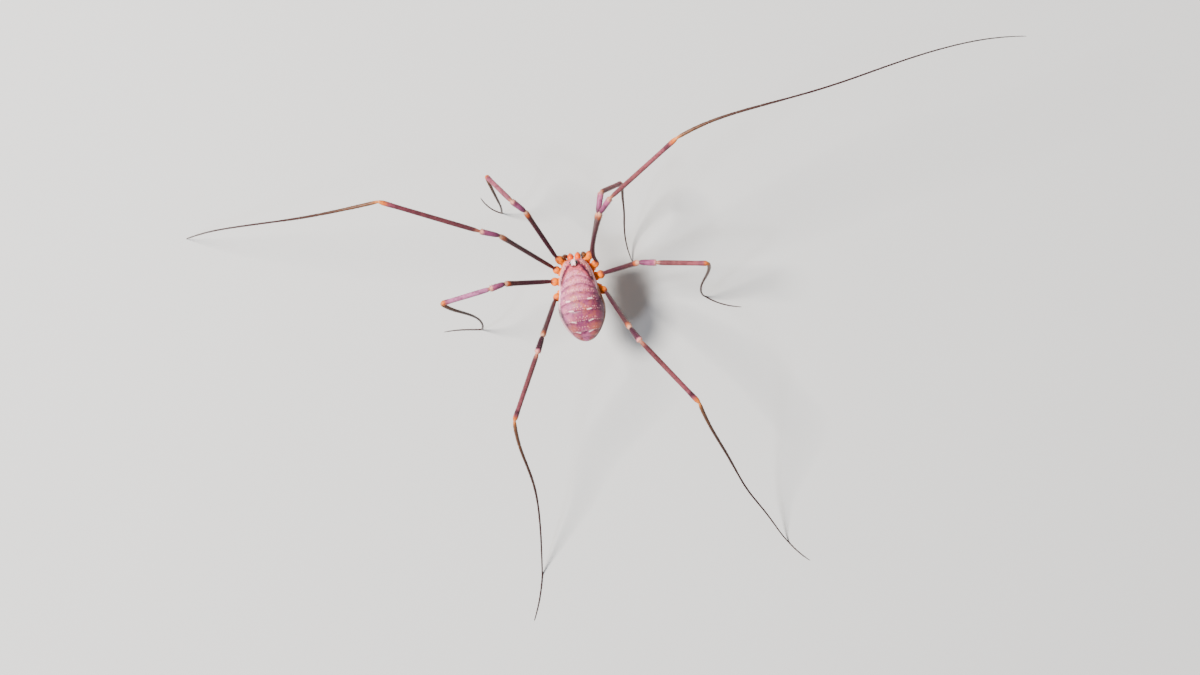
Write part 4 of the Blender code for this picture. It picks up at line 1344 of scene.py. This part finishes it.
def make_hairs(leg, number, stem, material):
    draw = np.random.default_rng(SEED + 10 + number)
    length = LENGTHS[number][3] + LENGTHS[number][4]
    count = int(length / HAIR_SPACING)
    reach = draw.uniform(0.0, length, count)
    where = np.interp(reach, (0.0, LENGTHS[number][3], length), HAIR_RUN)
    degrees = draw.uniform(0, 360, count)
    heights = np.interp(where, *zip(*HAIR_LENGTHS)) * draw.uniform(0.6, 1.25, count)
    lean = np.radians(draw.uniform(*HAIR_LEAN, count))[:, None]
    grow(f"hairs_{leg}", "tarsus", material, stem, where, degrees, lean, heights, HAIR_RADIUS,
         HAIR_SIDES)


# Mouthparts, eyes and body

def limb_tube(points, radii, joints, side):
    """Points, faces and masks of a jointed mouthpart with rounded ends, and its stem for hairs."""
    line, share = polyline([body_point(point, side) for point in points], MOUTHPART_RINGS)
    widths = even_curve(radii, share)
    for place, depth, width in joints:
        widths = widths * (1 - depth * hump(share, place, width))
    line, widths = rounded_ends(line, widths)
    extra = (len(line) - len(share)) // 2
    share = np.concatenate([np.zeros(extra), share, np.ones(extra)])
    joint = np.zeros(len(share))
    for place, _, width in joints:
        joint = np.maximum(joint, hump(share, place, width * 0.7))
    masks = {"tip": np.repeat(share, MOUTHPART_SIDES), "joint": np.repeat(joint, MOUTHPART_SIDES)}
    # The shares are level in the domes, and a place is looked up among rising ones
    rising = share + np.arange(len(share)) * RISING_STEP
    return tube(line, widths, MOUTHPART_SIDES), masks, (line, rising, widths)


def make_mouthpart(kind, side_name, side, material):
    """Adds the skin of one mouthpart and returns its line, values along it and radii."""
    node, tubes, _ = MOUTHPARTS[kind]
    shapes, masks, stems = zip(*(limb_tube(*tube_shape, side) for tube_shape in tubes))
    masks = {name: np.concatenate([part[name] for part in masks]) for name in masks[0]}
    name = f"{kind}_{side_name}"
    mesh = mesh_from(name, *joined(shapes), masks)
    add_piece(name, mesh, material, [f"{node}_{side_name}"])
    return stems[0]


def make_mouth_hairs(kind, side_name, stem, material):
    node, _, hairs = MOUTHPARTS[kind]
    name = f"{kind}_hairs"
    draw = np.random.default_rng(SEED + 30 + len(name))
    where = draw.uniform(*MOUTH_HAIR_RUN, hairs)
    degrees = draw.uniform(0, 360, hairs)
    lean = np.radians(draw.uniform(*MOUTH_HAIR_LEAN, hairs))[:, None]
    heights = draw.uniform(*MOUTH_HAIR_HEIGHTS, hairs)
    grow(f"{name}_{side_name}", node, material, stem, where, degrees, lean, heights,
         MOUTH_HAIR_RADIUS, HAIR_SIDES, map_length=len(SEGMENTS))


def make_eye(side_name, side, material):
    centre = ocularium_centre() + np.array((EYE_OFFSET[0] * side, *EYE_OFFSET[1:]))
    name = f"lens_{side_name}"
    mesh = mesh_from(name, *ball(centre, (EYE_RADIUS,) * 3, EYE_RINGS, EYE_SIDES), {})
    add_piece(name, mesh, material, [f"eye_{side_name}"])


def make_body(material, spike_material):
    skin = skin_cage()
    masks, bumps = carve_skin(skin)
    set_masks(skin, masks)
    make_denticles(skin, bumps, masks["plate"], spike_material)
    skin.transform(Matrix.Translation(OFFSET) @ Matrix.Scale(MM, 4))
    skin.shade_smooth()
    add_piece("body_skin", skin, material, ["prosoma", "opisthosoma", "ocularium"])


def make_denticles(skin, bumps, plate, material):
    """Short pale points on the tubercles of the back."""
    points, normals = mesh_arrays(skin)
    upper = np.flatnonzero((plate > DENTICLE_PLACE[0]) & (normals[:, 2] > DENTICLE_PLACE[1]))
    tree = KDTree(len(upper))
    for i in upper:
        tree.insert((points[i, 0], points[i, 1], 0.0), int(i))
    tree.balance()
    nearest = [tree.find((x, y, 0.0)) for x, y, _ in bumps]
    close = np.array([distance < DENTICLE_REACH for _, _, distance in nearest])
    found = np.array([index for _, index, _ in nearest])[close]
    heights = DENTICLE_HEIGHT * bumps[close, 2]
    ways = unit(normals[found] + np.array(DENTICLE_LEAN))
    patches = 0.5 + points[found][:, :2] * np.array(BODY_MAP)
    add_bristles("body_denticles", "opisthosoma", material, points[found], ways, heights,
                 heights * DENTICLE_THICKNESS, SPIKE_SIDES, patches)


def make_mound_points(material):
    """Rows of short points that stand up on both sides of the eye mound."""
    draw = np.random.default_rng(SEED + 50)
    size = np.array(OCULARIUM_SIZE)
    ways = []
    for side in SIDES.values():
        for ahead in np.linspace(-MOUND_ROW_REACH, MOUND_ROW_REACH, MOUND_POINTS):
            aside = side * (MOUND_ROW_ASIDE + draw.normal(0, 0.03))
            ways.append((aside, ahead, math.sqrt(1 - aside**2 - ahead**2)))
    roots = ocularium_centre() + np.array(ways) * size
    heights = draw.uniform(*MOUND_POINT_HEIGHTS, len(roots))
    patches = 0.5 + roots[:, :2] * np.array(BODY_MAP)
    add_bristles("mound_points", "ocularium", material, roots, np.array(ways) / size, heights,
                 heights * MOUND_POINT_THICKNESS, SPIKE_SIDES, patches)


# Camera, light and floor

def add_camera():
    tilt = math.radians(CAMERA_TILT)
    roll = math.radians(CAMERA_ROLL)
    back = Vector((math.sin(tilt), 0.0, math.cos(tilt)))
    across = Vector((math.cos(tilt), 0.0, -math.sin(tilt)))
    ahead = Vector((0.0, 1.0, 0.0))
    right = across * math.cos(roll) - ahead * math.sin(roll)
    up = across * math.sin(roll) + ahead * math.cos(roll)
    data = bpy.data.cameras.new("camera")
    data.sensor_width = SENSOR_WIDTH
    data.lens = SENSOR_WIDTH * CAMERA_DISTANCE / PIXEL_SIZE / IMAGE_WIDTH
    data.clip_start = CAMERA_CLIP_START
    camera = add_object("camera", data)
    place = Matrix((right, up, back)).transposed().to_4x4()
    place.translation = Vector(CAMERA_AIM) * MM + OFFSET + back * CAMERA_DISTANCE * MM
    camera.matrix_world = place
    bpy.context.scene.camera = camera


def add_lights():
    for name, (way, size, power, colour) in LIGHTS.items():
        data = bpy.data.lights.new(name, "AREA")
        data.shape = "DISK"
        data.size = size
        data.energy = power
        data.color = colour
        light = add_object(name, data)
        direction = Vector(way).normalized()
        light.location = direction * LIGHT_DISTANCE + OFFSET
        light.rotation_mode = "QUATERNION"
        light.rotation_quaternion = direction.to_track_quat("Z", "Y")
    world = bpy.data.worlds.new("studio")
    world.use_nodes = True
    background = world.node_tree.nodes["Background"]
    background.inputs["Color"].default_value = (*WORLD_COLOUR, 1.0)
    background.inputs["Strength"].default_value = WORLD_STRENGTH
    bpy.context.scene.world = world


def add_floor():
    cage = bmesh.new()
    bmesh.ops.create_grid(cage, x_segments=1, y_segments=1, size=FLOOR_SIZE / 2)
    mesh = bpy.data.meshes.new("floor")
    cage.to_mesh(mesh)
    cage.free()
    recipe = Recipe("floor", 0.75, {"clouds": ((40.0, 3), (0.3, 0.7, 0.0, 1.0))})
    paler = tuple(value * FLOOR_CLOUDS for value in FLOOR_COLOUR)
    mesh.materials.append(recipe.finish([FLOOR_COLOUR, over(paler, "clouds")]))
    add_object("floor", mesh)


def main():
    add_camera()
    add_lights()
    add_floor()
    leg_skin = leg_material()
    spine, hair, denticle = (bristle_material(name) for name in BRISTLES)
    jaw = mouthpart_material("jaw", *JAW_COLOURS)
    # palps in painted shade
    palp = mouthpart_material("palp", *PALP_SHADE_COLOURS)
    lens = eye_material()
    claw = claw_material()
    make_body(skin_material(), denticle)
    make_mound_points(denticle)
    for side_name, side in SIDES.items():
        make_eye(side_name, side, lens)
        jaw_stem = make_mouthpart("jaw", side_name, side, jaw)
        palp_stem = make_mouthpart("palp", side_name, side, palp)
        make_mouth_hairs("jaw", side_name, jaw_stem, hair)
        make_mouth_hairs("palp", side_name, palp_stem, hair)
        for number in range(4):
            leg = f"{side_name}_{number + 1}"
            stem = make_leg(leg, number, side, leg_skin)
            make_spines(leg, number, stem, spine)
            make_hairs(leg, number, stem, hair)
            make_claw(leg, stem[0], claw)


main()
